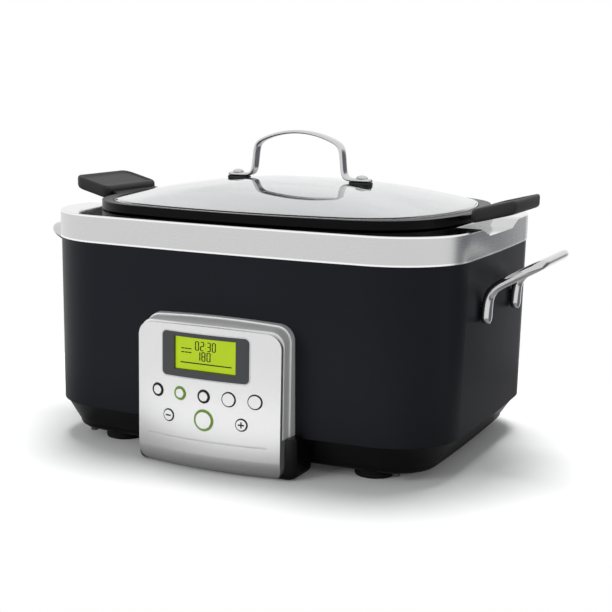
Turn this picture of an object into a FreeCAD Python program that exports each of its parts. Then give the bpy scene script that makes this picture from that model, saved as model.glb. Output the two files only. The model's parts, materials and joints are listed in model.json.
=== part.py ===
import FreeCAD, Part
import math
import os
from types import SimpleNamespace
import Sketcher

# A family slow cooker: a sheet-metal housing with a heated well, a lift-out pot and a glass lid.
# Frame: X along the length, the control panel faces -Y, Z up, origin on the table under the centre.

Vector = FreeCAD.Vector
Rotation = FreeCAD.Rotation
doc = FreeCAD.newDocument("slow_cooker")

# Driving sizes in millimetres: name, value, meaning
SIZES = [
    ("body_length", 340.0, "housing length at the top of the wrap"),
    ("body_width", 264.6, "housing width at the top of the wrap"),
    ("body_corner", 61.0, "corner radius at the top of the wrap"),
    ("side_bow", 3.1, "outward bow of the long sides"),
    ("end_bow", 1.4, "outward bow of the short sides"),
    ("end_taper", 2.1, "how much the wrap narrows downwards at each end"),
    ("side_taper", 4.6, "how much the wrap narrows downwards at each side"),
    ("low_corner", 53.0, "corner radius at the bottom of the wrap"),
    ("sheet_wall", 1.2, "sheet metal of the wrap and the rim"),
    ("tuck_gap", 0.4, "gap where one shell tucks inside another"),
    ("tuck_height", 8.0, "how far one shell tucks inside another"),
    ("foot_height", 7.0, "height of the feet"),
    ("foot_radius", 15.0, "radius of a foot at its top"),
    ("foot_draft", 1.5, "how much a foot narrows downwards"),
    ("foot_inset_x", 62.0, "foot centre in from the housing's end"),
    ("foot_inset_y", 43.0, "foot centre in from the housing's side"),
    ("base_height", 23.0, "height of the base below the wrap"),
    ("base_step", 1.4, "how far the base's top edge stands inside the wrap"),
    ("base_end_taper", 16.2, "base bottom in from the housing's end"),
    ("base_side_taper", 18.6, "base bottom in from the housing's side"),
    ("base_corner", 34.0, "corner radius at the bottom of the base"),
    ("base_roll", 5.0, "rounding of the base's lower edge"),
    ("base_wall", 3.0, "moulded wall and floor of the base"),
    ("wrap_height", 130.0, "height of the wrap"),
    ("rim_height", 21.0, "height of the rim above the wrap"),
    ("rim_proud", 0.65, "how far the rim stands outside the wrap"),
    ("rim_roll", 1.2, "rounding of the rim's top edge"),
    ("scoop_width", 104.0, "scoop in the rim's end, width at the top"),
    ("scoop_floor", 58.0, "width of the scoop's floor"),
    ("scoop_depth", 6.5, "depth of the scoop"),
    ("scoop_length", 20.0, "how far the scoop runs in from the end"),
    ("rim_end_margin", 31.5, "pot mouth in from the housing's end"),
    ("rim_side_margin", 20.3, "pot mouth in from the housing's side"),
    ("pot_corner", 56.0, "corner radius of the pot's mouth"),
    ("pot_bow", 7.0, "outward bow of the pot's sides"),
    ("pot_wall", 2.5, "pot wall and floor"),
    ("pot_taper", 6.5, "how much the pot narrows downwards on each side"),
    ("pot_roll", 18.0, "outside rounding of the pot's bottom edge"),
    ("lip_end", 10.5, "lip beyond the pot wall at the ends"),
    ("lip_side", 5.3, "lip beyond the pot wall at the sides"),
    ("lip_corner", 66.0, "corner radius of the lip"),
    ("lip_thickness", 6.5, "thickness of the lip"),
    ("lip_gap", 1.0, "lip above the rim's top"),
    ("lip_cove", 4.5, "hollow rounding under the lip"),
    ("seat_depth", 4.2, "lid's seat below the pot's top"),
    ("seat_gap", 0.6, "gap round the lid in its seat"),
    ("well_gap", 3.0, "air between the pot and the well"),
    ("well_wall", 1.2, "well wall"),
    ("well_rise", 32.0, "well bottom above the base's floor"),
    ("well_flange_gap", 2.0, "well flange in from the rim's skirt"),
    ("standoff_height", 10.8, "height of the plate's standoffs"),
    ("standoff_radius", 4.0, "radius of a standoff"),
    ("standoff_x", 95.0, "standoff from the middle along the length"),
    ("standoff_y", 48.0, "standoff from the middle across"),
    ("plate_thickness", 8.0, "heating plate"),
    ("plate_margin", 10.0, "heating plate in from the well's bottom edge"),
    ("element_radius", 78.0, "centre line of the ring element"),
    ("element_tube", 3.5, "radius of the element's tube"),
    ("sensor_radius", 16.0, "temperature sensor's cap"),
    ("sensor_cap", 3.0, "thickness of the sensor's cap"),
    ("sensor_stem", 6.0, "radius of the sensor's stem"),
    ("sensor_tail", 6.0, "stem below the well's floor"),
    ("sensor_gap", 1.0, "gap round the sensor"),
    ("spring_wire", 2.0, "wall of the sensor's spring"),
    ("blanket_thickness", 5.0, "insulation blanket"),
    ("blanket_gap", 0.5, "blanket off the well"),
    ("blanket_low", 18.0, "blanket's lower edge above the well's bottom"),
    ("blanket_high", 28.0, "blanket's upper edge below the rim's top"),
    ("shield_drop", 11.0, "heat shield below the well"),
    ("shield_length", 190.0, "heat shield length"),
    ("shield_width", 120.0, "heat shield width"),
    ("shield_wall", 0.8, "heat shield sheet"),
    ("shield_leg", 12.0, "width of a shield leg"),
    ("fuse_radius", 3.0, "thermal fuse"),
    ("fuse_length", 20.0, "thermal fuse"),
    ("fuse_x", 40.0, "thermal fuse from the middle"),
    ("board_length", 110.0, "power board"),
    ("board_width", 70.0, "power board"),
    ("board_thickness", 1.6, "circuit boards"),
    ("board_rise", 5.0, "power board above the base's floor"),
    ("board_post", 3.5, "radius of a board post"),
    ("board_post_inset", 6.0, "board post in from the board's edges"),
    ("relay_length", 20.0, "relay"),
    ("relay_width", 16.0, "relay"),
    ("relay_height", 12.0, "relay"),
    ("rod_radius", 2.5, "tie rods"),
    ("rod_inset_x", 40.5, "tie rod in from the housing's end"),
    ("rod_inset_y", 30.8, "tie rod in from the housing's side"),
    ("screw_radius", 1.5, "screw shanks"),
    ("screw_head", 3.0, "screw head radius"),
    ("screw_head_height", 2.2, "screw head height"),
    ("screw_bite", 12.0, "thread of the base screws in the rods"),
    ("screw_gap", 0.1, "clearance round a screw"),
    ("gland_x", 100.0, "cord gland from the middle"),
    ("gland_rise", 12.0, "cord gland above the base's bottom"),
    ("gland_radius", 6.0, "cord gland's barrel"),
    ("gland_flange", 8.5, "cord gland's flange radius"),
    ("gland_bore", 3.6, "cord gland's bore radius"),
    ("gland_length", 20.0, "cord gland's length"),
    ("gland_flange_thickness", 4.0, "cord gland's flange beyond the base"),
    ("handle_half", 39.0, "side handle foot from the middle"),
    ("handle_width", 13.0, "width of a handle arm"),
    ("handle_thickness", 7.0, "thickness of a handle arm"),
    ("handle_foot", 25.0, "height of a handle foot"),
    ("handle_round", 5.4, "rounding of a handle foot's lower corners"),
    ("handle_low", 110.5, "handle foot's lower edge above the table"),
    ("handle_reach", 45.0, "handle beyond the housing's end"),
    ("handle_lift", 26.0, "handle's outer end above its bend"),
    ("handle_bar", 14.0, "depth of the handle's cross bar"),
    ("handle_corner", 16.0, "outer corner of the handle"),
    ("backing_thickness", 2.5, "backing plate inside the wrap"),
    ("backing_height", 18.0, "backing plate height"),
    ("backing_gap", 1.2, "backing plates and panel screw heads off the wrap"),
    ("handle_bite", 4.0, "screw thread in the handle's foot"),
    ("panel_standoff", 15.7, "panel face's side edges in front of the housing"),
    ("face_half", 58.5, "half width of the panel face"),
    ("face_bow", 6.5, "forward bow of the panel face"),
    ("face_low", 0.5, "panel face's lower edge above the table"),
    ("face_high", 108.3, "panel face's top corners above the table"),
    ("face_arch", 2.1, "arch of the panel face's top edge"),
    ("face_corner", 11.0, "panel face's top corner radius"),
    ("face_low_corner", 11.0, "panel face's lower corner radius"),
    ("face_wall", 2.2, "panel face wall"),
    ("face_depth", 4.0, "depth of the panel face's edge"),
    ("face_roll", 15.0, "roll of the panel face's lower edge"),
    ("face_chin", 18.0, "depth of the panel face's lower part"),
    ("groove_z", 25.3, "groove across the panel face, above the table"),
    ("groove_half", 48.5, "half length of the groove"),
    ("groove_width", 0.8, "width of the groove"),
    ("groove_depth", 0.6, "depth of the groove"),
    ("toe_half", 66.0, "half width of the toe"),
    ("toe_high", 32.0, "toe's top above the table"),
    ("toe_reach", 8.0, "toe in front of the housing"),
    ("toe_corner", 8.0, "toe's upright corner radius"),
    ("toe_roll", 5.0, "rounding of the toe's lower edge"),
    ("surround_rise", 4.6, "surround's back edge above the face's top"),
    ("surround_flare", 1.0, "surround's back edge outside the face"),
    ("surround_wall", 2.5, "surround wall"),
    ("bead_proud", 0.9, "bead beyond the surround"),
    ("bead_depth", 2.2, "bead in front of the housing"),
    ("boss_radius", 4.0, "screw boss in the surround"),
    ("boss_x", 53.0, "screw boss from the middle"),
    ("boss_low", 45.0, "lower screw bosses above the table"),
    ("boss_high", 92.0, "upper screw bosses above the table"),
    ("boss_length", 9.0, "screw boss in front of the housing"),
    ("cable_width", 40.0, "cable window in the wrap"),
    ("cable_height", 20.0, "cable window in the wrap"),
    ("bezel_half", 36.0, "half width of the display bezel"),
    ("bezel_low", 71.3, "bezel's lower edge above the table"),
    ("bezel_high", 105.0, "bezel's upper edge above the table"),
    ("bezel_corner", 4.5, "bezel corner radius"),
    ("bezel_depth", 3.0, "bezel depth"),
    ("bezel_proud", 0.3, "bezel and rings in front of the face"),
    ("window_half", 25.0, "half width of the display window"),
    ("window_low", 77.3, "display window's lower edge"),
    ("window_high", 101.3, "display window's upper edge"),
    ("window_recess", 3.0, "display window behind the face"),
    ("window_thickness", 1.2, "display window"),
    ("fit_gap", 0.2, "clearance of parts that sit in each other"),
    ("module_half", 30.0, "half width of the display module"),
    ("module_margin", 1.0, "display module in from the bezel's edges"),
    ("module_recess", 5.0, "display module behind the face"),
    ("control_half", 46.0, "half width of the control board"),
    ("control_low", 34.5, "control board's lower edge"),
    ("control_high", 104.0, "control board's upper edge"),
    ("control_gap", 3.7, "control board in front of the housing"),
    ("control_post_x", 42.0, "control board post from the middle"),
    ("control_post_low", 37.5, "lower control board posts"),
    ("control_post_high", 71.0, "upper control board posts"),
    ("control_post", 2.5, "radius of a control board post"),
    ("switch_side", 6.0, "button switch"),
    ("switch_height", 4.0, "button switch"),
    ("button_pitch", 20.0, "spacing of the small buttons"),
    ("button_row", 59.3, "small buttons above the table"),
    ("button_radius", 3.4, "small button cap"),
    ("start_row", 41.6, "large button above the table"),
    ("start_radius", 6.3, "large button cap"),
    ("step_x", 30.0, "minus and plus buttons from the middle"),
    ("step_radius", 3.9, "minus and plus button caps"),
    ("toggle_radius", 4.7, "caps of the last two small buttons"),
    ("button_proud", 0.8, "button caps in front of the face"),
    ("button_gap", 0.3, "clearance round a button cap"),
    ("ring_width", 1.4, "width of a button ring"),
    ("thin_ring", 0.5, "width of a thin button ring"),
    ("button_travel", 0.8, "button travel"),
    ("button_flange", 1.0, "button flange thickness"),
    ("flange_back", 1.5, "button flange behind the face's wall"),
    ("stem_radius", 2.0, "button stem"),
    ("switch_gap", 0.15, "stem off the pressed switch"),
    ("tab_half", 33.0, "half width of a pot tab"),
    ("tab_thickness", 3.0, "pot tab thickness"),
    ("tab_drop", 1.5, "tab's middle below the pot's top, at the lip"),
    ("grip_half", 40.0, "half width of a grip"),
    ("grip_start", 5.5, "grip begins beyond the lip"),
    ("grip_length", 33.0, "grip length outwards"),
    ("grip_rise", 8.6, "grip's outer end above its root"),
    ("grip_thickness", 10.4, "grip thickness"),
    ("grip_corner", 9.0, "grip's outer corner radius"),
    ("grip_inner_corner", 6.0, "grip's inner corner radius"),
    ("lid_seat_end", 3.5, "lid beyond the pot's mouth at the ends"),
    ("lid_seat_side", 5.5, "lid beyond the pot's mouth at the sides"),
    ("lid_corner", 60.0, "lid corner radius"),
    ("lid_bow", 9.0, "outward bow of the lid's sides"),
    ("band_wall", 1.4, "lid band sheet"),
    ("band_height", 4.6, "lid band height"),
    ("band_shelf", 5.5, "lid band's shelf under the glass"),
    ("skirt_gap", 2.0, "lid skirt inside the pot's mouth"),
    ("skirt_depth", 4.0, "lid skirt depth"),
    ("glass_thickness", 4.0, "lid glass"),
    ("glass_rise", 17.3, "rise of the glass dome"),
    ("strap_width", 11.0, "lid handle strap width"),
    ("strap_thickness", 3.0, "lid handle strap thickness"),
    ("strap_foot", 63.5, "lid handle foot's end from the middle"),
    ("strap_post", 41.5, "lid handle post from the middle"),
    ("strap_lean", 2.5, "how much the posts lean inwards"),
    ("strap_rise", 29.3, "post height"),
    ("strap_arch", 10.0, "arch of the lid handle"),
    ("strap_bend", 12.0, "outside bend at the strap's shoulders"),
    ("foot_bend", 6.0, "outside bend at the strap's feet"),
    ("washer_height", 1.5, "soft pad above the glass, at the screw"),
    ("lid_screw_x", 55.0, "lid screws from the middle"),
    ("lid_screw_radius", 2.0, "lid screw shank"),
    ("lid_screw_head", 4.6, "lid screw dome radius"),
    ("lid_screw_dome", 2.5, "lid screw dome height"),
    ("nut_radius", 5.0, "nut under the lid"),
    ("nut_height", 4.0, "nut under the lid"),
]


class Formula:
    """A number together with the sheet formula that gives it."""

    def __init__(self, value, text):
        self.value = value
        self.text = text

    def __add__(self, other):
        other = formula(other)
        return Formula(self.value + other.value, f"({self.text} + {other.text})")

    def __sub__(self, other):
        other = formula(other)
        return Formula(self.value - other.value, f"({self.text} - {other.text})")

    def __mul__(self, other):
        other = formula(other)
        return Formula(self.value * other.value, f"({self.text} * {other.text})")

    def __truediv__(self, other):
        other = formula(other)
        return Formula(self.value / other.value, f"({self.text} / {other.text})")

    def __radd__(self, other):
        return formula(other) + self

    def __rsub__(self, other):
        return formula(other) - self

    def __rmul__(self, other):
        return formula(other) * self

    def __neg__(self):
        return formula(0) - self

    def root(self):
        return Formula(math.sqrt(self.value), f"sqrt({self.text})")


def formula(thing):
    """A plain number as a formula."""
    if isinstance(thing, Formula):
        return thing
    return Formula(float(thing), f"({float(thing)})")


def make_sheet():
    """The sheet of driving sizes, and each size as a formula."""
    sheet = doc.addObject("Spreadsheet::Sheet", "sizes")
    cells = {}
    for row, (alias, value, meaning) in enumerate(SIZES, start=1):
        sheet.set(f"A{row}", alias)
        sheet.set(f"B{row}", str(value))
        sheet.set(f"C{row}", meaning)
        sheet.setAlias(f"B{row}", alias)
        cells[alias] = Formula(value, f"sizes.{alias}")
    doc.recompute()
    return SimpleNamespace(**cells)


s = make_sheet()
nodes = []


def node(thing, label):
    """Keep an object as one named piece of the cooker."""
    thing.Label = label
    nodes.append(thing)
    return thing


def bind(thing, path, size):
    thing.setExpression(path, formula(size).text)


# Outlines: rounded rectangles whose four sides bow outwards, drawn as eight tangent arcs

class Outline:
    def __init__(self, x, y, corner, long_radius, short_radius):
        self.x = x
        self.y = y
        self.corner = corner
        self.long_radius = long_radius
        self.short_radius = short_radius

    def inset(self, gap):
        return Outline(self.x - gap, self.y - gap, self.corner - gap,
                       self.long_radius - gap, self.short_radius - gap)

    def scaled(self, share):
        return Outline(self.x * share, self.y * share, self.corner * share,
                       self.long_radius * share, self.short_radius * share)


def bowed(x, y, corner, long_bow, short_bow):
    """An outline from its half sizes, corner radius and the bows of its sides."""
    return Outline(x, y, corner, bow_radius(x - corner, long_bow), bow_radius(y - corner, short_bow))


def bow_radius(half_chord, rise):
    """Radius of an arc from half its chord and its rise."""
    return (half_chord * half_chord + rise * rise) / (2 * rise)


def corner_centre(shape):
    """Centre of the first quadrant's corner arc, tangent inside both side arcs."""
    side = Vector(shape.x.value - shape.short_radius.value, 0, 0)
    top = Vector(0, shape.y.value - shape.long_radius.value, 0)
    from_side = shape.short_radius.value - shape.corner.value
    from_top = shape.long_radius.value - shape.corner.value
    between = top - side
    along = (from_side ** 2 - from_top ** 2 + between.Length ** 2) / (2 * between.Length)
    across = math.sqrt(from_side ** 2 - along ** 2)
    unit = between.normalize()
    foot = side + unit * along
    normal = Vector(unit.y, -unit.x, 0)
    if (foot + normal * across).x < 0:
        normal = -normal
    return foot + normal * across


# Sketches

def new_body(name):
    return doc.addObject("PartDesign::Body", name)


def new_sketch(body, role, offset):
    """A sketch on one of the body's origin planes, moved along the plane's normal."""
    plane = next(item for item in body.Origin.OriginFeatures if item.Role == role)
    sketch = body.newObject("Sketcher::SketchObject", f"{body.Name}_sketch")
    sketch.AttachmentSupport = [(plane, "")]
    sketch.MapMode = "FlatFace"
    bind(sketch, "AttachmentOffset.Base.z", offset)
    return sketch


def constrain(sketch, *what):
    """A dimension whose last value is a formula."""
    size = formula(what[-1])
    index = sketch.addConstraint(Sketcher.Constraint(*what[:-1], size.value))
    sketch.setExpression(f"Constraints[{index}]", size.text)


def draw_outline(sketch, shape):
    corner = corner_centre(shape)
    side_x = shape.x.value - shape.short_radius.value
    top_y = shape.y.value - shape.long_radius.value
    low = math.atan2(corner.y, corner.x - side_x)
    high = math.atan2(corner.y - top_y, corner.x)
    half, whole = math.pi / 2, math.pi
    arcs = [
        (side_x, 0, shape.short_radius, -low, low),
        (corner.x, corner.y, shape.corner, low, high),
        (0, top_y, shape.long_radius, high, whole - high),
        (-corner.x, corner.y, shape.corner, whole - high, whole - low),
        (-side_x, 0, shape.short_radius, whole - low, whole + low),
        (-corner.x, -corner.y, shape.corner, whole + low, whole + high),
        (0, -top_y, shape.long_radius, whole + high, 2 * whole - high),
        (corner.x, -corner.y, shape.corner, 2 * whole - high, 2 * whole - low),
    ]
    for x, y, radius, start, end in arcs:
        circle = Part.Circle(Vector(x, y, 0), Vector(0, 0, 1), radius.value)
        sketch.addGeometry(Part.ArcOfCircle(circle, start, end))
    for index in range(8):
        sketch.addConstraint(Sketcher.Constraint("Tangent", index, 2, (index + 1) % 8, 1))
    for index in (3, 5, 7):
        sketch.addConstraint(Sketcher.Constraint("Equal", 1, index))
    sketch.addConstraint(Sketcher.Constraint("Equal", 0, 4))
    sketch.addConstraint(Sketcher.Constraint("Equal", 2, 6))
    for index, axis in ((0, -1), (4, -1), (2, -2), (6, -2)):
        sketch.addConstraint(Sketcher.Constraint("PointOnObject", index, 3, axis))
    constrain(sketch, "Radius", 0, shape.short_radius)
    constrain(sketch, "Radius", 1, shape.corner)
    constrain(sketch, "Radius", 2, shape.long_radius)
    constrain(sketch, "DistanceX", 0, 3, -1, 1, shape.short_radius - shape.x)
    constrain(sketch, "DistanceX", -1, 1, 4, 3, shape.short_radius - shape.x)
    constrain(sketch, "DistanceY", 2, 3, -1, 1, shape.long_radius - shape.y)
    constrain(sketch, "DistanceY", -1, 1, 6, 3, shape.long_radius - shape.y)


def draw_polygon(sketch, points):
    """A closed outline. A point's third value is the rise of a level arc to the next point,
    outwards if positive, where the points run anticlockwise."""
    count = len(points)
    starts = []
    for index, point in enumerate(points):
        after = points[(index + 1) % count]
        first = Vector(formula(point[0]).value, formula(point[1]).value, 0)
        last = Vector(formula(after[0]).value, formula(after[1]).value, 0)
        if len(point) == 2:
            sketch.addGeometry(Part.LineSegment(first, last))
            starts.append((1, 2))
            continue
        rise = formula(point[2])
        along = (last - first).normalize()
        outwards = Vector(along.y, -along.x, 0)
        crown = (first + last) / 2 + outwards * rise.value
        sketch.addGeometry(Part.Arc(first, crown, last))
        starts.append((1, 2) if rise.value > 0 else (2, 1))
        half = (formula(after[0]) - point[0]) / 2
        size = rise if rise.value > 0 else -rise
        constrain(sketch, "Radius", index, bow_radius(half, size))
    for index in range(count):
        after = (index + 1) % count
        sketch.addConstraint(
            Sketcher.Constraint("Coincident", index, starts[index][1], after, starts[after][0]))
    for index, point in enumerate(points):
        constrain(sketch, "DistanceX", -1, 1, index, starts[index][0], point[0])
        constrain(sketch, "DistanceY", -1, 1, index, starts[index][0], point[1])


def draw_circle(sketch, x, y, radius):
    x, y, radius = formula(x), formula(y), formula(radius)
    index = sketch.addGeometry(
        Part.Circle(Vector(x.value, y.value, 0), Vector(0, 0, 1), radius.value))
    constrain(sketch, "Radius", index, radius)
    constrain(sketch, "DistanceX", -1, 1, index, 3, x)
    constrain(sketch, "DistanceY", -1, 1, index, 3, y)


def outline_sketch(body, shape, z):
    sketch = new_sketch(body, "XY_Plane", z)
    draw_outline(sketch, shape)
    return sketch


def polygon_sketch(body, role, offset, points):
    sketch = new_sketch(body, role, offset)
    draw_polygon(sketch, points)
    return sketch


# Features

def extrude(body, kind, sketch, length):
    feature = body.newObject(f"PartDesign::{kind}", f"{body.Name}_{kind}")
    feature.Profile = sketch
    bind(feature, "Length", length)
    return feature


def loft(body, kind, sketches, ruled=False):
    feature = body.newObject(f"PartDesign::{kind}Loft", f"{body.Name}_loft")
    feature.Ruled = ruled
    feature.Profile = sketches[0]
    feature.Sections = sketches[1:]
    return feature


def fillet(body, wanted, radius):
    """Round the edges of the body's last feature that pass a test."""
    base = body.Tip
    doc.recompute([base])
    names = [f"Edge{i}" for i, edge in enumerate(base.Shape.Edges, start=1) if wanted(edge)]
    feature = body.newObject("PartDesign::Fillet", f"{body.Name}_fillet")
    feature.Base = (base, names)
    bind(feature, "Radius", radius)
    return feature


def level_edges(z):
    """Test for edges that lie flat at a height."""
    height = formula(z).value

    def test(edge):
        box = edge.BoundBox
        return abs(box.ZMin - height) < 1e-4 and abs(box.ZMax - height) < 1e-4
    return test


def straight_edges(axis, *spots):
    """Test for straight edges along an axis whose middle is at one of the given spots."""
    places = [[None if value is None else formula(value).value for value in spot] for spot in spots]

    def test(edge):
        if edge.Curve.TypeId != "Part::GeomLine":
            return False
        way = edge.tangentAt(edge.FirstParameter)
        if abs(getattr(way, axis)) < 0.9:
            return False
        middle = edge.CenterOfMass
        return any(all(want is None or abs(want - got) < 0.05 for want, got in zip(place, middle))
                   for place in places)
    return test


def prism(name, role, offset, length, points):
    """A body made by pushing an outline along a plane's normal."""
    body = new_body(name)
    extrude(body, "Pad", polygon_sketch(body, role, offset, points), length)
    return body


# Primitives and booleans

ALONG = {
    "X": Rotation(Vector(0, 1, 0), 90),
    "-Y": Rotation(Vector(1, 0, 0), 90),
    "Z": Rotation(),
}


def place(thing, at, rotation=Rotation()):
    thing.Placement = FreeCAD.Placement(Vector(), rotation)
    for axis, value in zip("xyz", at):
        bind(thing, f"Placement.Base.{axis}", value)
    return thing


def cylinder(name, radius, height, at, along="Z"):
    made = doc.addObject("Part::Cylinder", name)
    bind(made, "Radius", radius)
    bind(made, "Height", height)
    return place(made, at, ALONG[along])


def box(name, sides, at):
    made = doc.addObject("Part::Box", name)
    for path, value in zip(("Length", "Width", "Height"), sides):
        bind(made, path, value)
    return place(made, at)


def cut(name, base, *tools):
    for tool in tools:
        made = doc.addObject("Part::Cut", name)
        made.Base = base
        made.Tool = tool
        base = made
    return base


def combine(kind, name, pieces):
    made = doc.addObject(f"Part::Multi{kind}", name)
    made.Shapes = pieces
    return made


def fuse(name, *pieces):
    return combine("Fuse", name, list(pieces))


def common(name, *pieces):
    return combine("Common", name, list(pieces))


def group(name, pieces):
    made = doc.addObject("Part::Compound", name)
    made.Links = pieces
    return made


# Heights, from the table up
base_z = s.foot_height
floor_z = base_z + s.base_wall
wrap_z = base_z + s.base_height
rim_z = wrap_z + s.wrap_height
top_z = rim_z + s.rim_height
rim_under = top_z - s.sheet_wall
well_z = floor_z + s.well_rise
well_floor = well_z + s.well_wall
plate_z = well_floor + s.standoff_height
pot_z = plate_z + s.plate_thickness
lip_z = top_z + s.lip_gap
pot_top = lip_z + s.lip_thickness
seat_z = pot_top - s.seat_depth
well_depth = rim_under - well_z

# Plan outlines
half_x = s.body_length / 2
half_y = s.body_width / 2
wrap_high = bowed(half_x, half_y, s.body_corner, s.side_bow, s.end_bow)
wrap_low = bowed(half_x - s.end_taper, half_y - s.side_taper, s.low_corner, s.side_bow, s.end_bow)
base_high = wrap_low.inset(s.base_step)
base_low = bowed(half_x - s.base_end_taper, half_y - s.base_side_taper, s.base_corner,
                 s.side_bow, s.end_bow)
base_tuck = wrap_low.inset(s.sheet_wall + s.tuck_gap)
rim_outer = wrap_high.inset(-s.rim_proud)
rim_tuck = wrap_high.inset(s.sheet_wall + s.tuck_gap)
mouth = bowed(half_x - s.rim_end_margin, half_y - s.rim_side_margin, s.pot_corner, s.pot_bow, s.pot_bow)
lip = bowed(mouth.x + s.pot_wall + s.lip_end, mouth.y + s.pot_wall + s.lip_side, s.lip_corner,
            s.pot_bow, s.pot_bow)
pot_outer = mouth.inset(-s.pot_wall)
well_inner = pot_outer.inset(-s.well_gap)
well_outer = well_inner.inset(-s.well_wall)
lid_outer = bowed(mouth.x + s.lid_seat_end, mouth.y + s.lid_seat_side, s.lid_corner, s.lid_bow, s.lid_bow)

CORNERS = [("front_left", -1, -1), ("front_right", 1, -1), ("rear_left", -1, 1), ("rear_right", 1, 1)]
ENDS = [("left", -1), ("right", 1)]
ROUND_STEPS = 4


def lofted(name, kind, levels, ruled=False):
    """A body lofted through outlines at heights."""
    body = new_body(name)
    loft(body, kind, [outline_sketch(body, shape, z) for shape, z in levels], ruled)
    return body


def quarter_steps():
    """A quarter circle in even steps, as what is left to go sideways and what has been climbed."""
    angles = [math.radians(90 * step / ROUND_STEPS) for step in range(ROUND_STEPS + 1)]
    return [(1 - math.sin(angle), 1 - math.cos(angle)) for angle in angles]


def screw(name, at, along, length):
    """A screw whose shank starts at a point and runs along an axis, with its head behind that point."""
    back = {"-Y": (0, 1, 0), "Z": (0, 0, -1)}[along]
    start = [value + step * s.screw_head_height for value, step in zip(at, back)]
    shank = cylinder(f"{name}_shank", s.screw_radius, length, at, along)
    cap = cylinder(f"{name}_head", s.screw_head, s.screw_head_height, start, along)
    return fuse(name, shank, cap)


# Base tray, feet, tie rods and the screws that clamp them

rod_x = half_x - s.rod_inset_x
rod_y = half_y - s.rod_inset_y
rod_length = rim_under - s.well_wall - floor_z


def make_base():
    rolled = [(base_low.inset(s.base_roll * out), base_z + s.base_roll * up) for out, up in quarter_steps()]
    blank = lofted("base_blank", "Additive", rolled + [(base_high, wrap_z)], ruled=True)
    tuck = new_body("base_upstand")
    extrude(tuck, "Pad", outline_sketch(tuck, base_tuck, wrap_z), s.tuck_height)
    hollow = new_body("base_hollow")
    hollow_high = base_tuck.inset(s.base_wall)
    loft(hollow, "Additive", [outline_sketch(hollow, base_low.inset(s.base_wall), floor_z),
                              outline_sketch(hollow, hollow_high, wrap_z)])
    extrude(hollow, "Pad", outline_sketch(hollow, hollow_high, wrap_z), s.tuck_height)
    shell = cut("base_shell", fuse("base_outside", blank, tuck), hollow)
    posts = [cylinder(f"board_post_{label}", s.board_post, s.board_rise,
                      (x * (s.board_length / 2 - s.board_post_inset),
                       y * (s.board_width / 2 - s.board_post_inset), floor_z)) for label, x, y in CORNERS]
    holes = [cylinder(f"base_hole_{label}", s.screw_radius + s.screw_gap, s.base_wall,
                      (x * rod_x, y * rod_y, base_z)) for label, x, y in CORNERS]
    port = cylinder("gland_port", s.gland_radius + s.fit_gap, s.base_side_taper + s.gland_length,
                    (s.gland_x, half_y, base_z + s.gland_rise), "-Y")
    tray = fuse("base_with_posts", shell, *posts)
    node(cut("base_tray_cut", tray, group("base_holes", holes), port), "base_tray")
    return blank


def make_feet():
    for label, x, y in CORNERS:
        foot = doc.addObject("Part::Cone", f"foot_{label}_cone")
        bind(foot, "Radius1", s.foot_radius - s.foot_draft)
        bind(foot, "Radius2", s.foot_radius)
        bind(foot, "Height", s.foot_height)
        place(foot, (x * (half_x - s.foot_inset_x), y * (half_y - s.foot_inset_y), 0))
        node(foot, f"foot_{label}")


def make_tie_rods():
    rods = []
    screws = []
    for label, x, y in CORNERS:
        at = (x * rod_x, y * rod_y, floor_z)
        rod = cylinder(f"rod_{label}", s.rod_radius, rod_length, at)
        bore = cylinder(f"rod_bore_{label}", s.screw_radius + s.screw_gap, s.screw_bite, at)
        rods.append(cut(f"tie_rod_{label}", rod, bore))
        screws.append(screw(f"base_screw_{label}", (x * rod_x, y * rod_y, base_z), "Z",
                            s.base_wall + s.screw_bite))
    node(group("rods", rods), "tie_rods")
    node(group("screws_below", screws), "base_screws")


def make_gland(base_blank):
    """A bushing through the rear of the base for the mains cord."""
    z = base_z + s.gland_rise
    slope = (s.base_side_taper - s.side_taper - s.base_step) / s.base_height
    outside = half_y - s.base_side_taper + slope * s.gland_rise + s.gland_flange_thickness
    barrel = cylinder("gland_barrel", s.gland_radius, s.gland_length, (s.gland_x, outside, z), "-Y")
    collar = cylinder("gland_collar", s.gland_flange, s.gland_flange_thickness + s.gland_length / 2,
                      (s.gland_x, outside, z), "-Y")
    collar_outside = cut("gland_collar_cut", collar, base_blank)
    bore = cylinder("gland_bore_cut", s.gland_bore, s.gland_length, (s.gland_x, outside, z), "-Y")
    node(cut("gland", fuse("gland_body", barrel, collar_outside), bore), "cord_gland")


# Wrap and rim

handle_z = s.handle_low + s.handle_foot / 2
panel_y = half_y + s.panel_standoff
# How far a cutting tool runs past the sheet that it cuts
overcut = s.sheet_wall * 4


def wall_x(z):
    """Half length of the wrap at a height."""
    return half_x - s.end_taper * (rim_z - z) / s.wrap_height


def wall_y(z):
    """Half width of the wrap at a height."""
    return half_y - s.side_taper * (rim_z - z) / s.wrap_height


def handle_holes():
    """Holes through the end walls for the handle screws."""
    reach = s.sheet_wall + s.handle_thickness
    holes = []
    for end, sign in ENDS:
        start = wall_x(handle_z) - reach if sign > 0 else -wall_x(handle_z) - reach
        for side in (-1, 1):
            holes.append(cylinder(f"handle_hole_{end}", s.screw_radius + s.screw_gap, reach * 2,
                                  (start, side * s.handle_half, handle_z), "X"))
    return holes


def boss_spots():
    return [(side * s.boss_x, z) for side in (-1, 1) for z in (s.boss_low, s.boss_high)]


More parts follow.
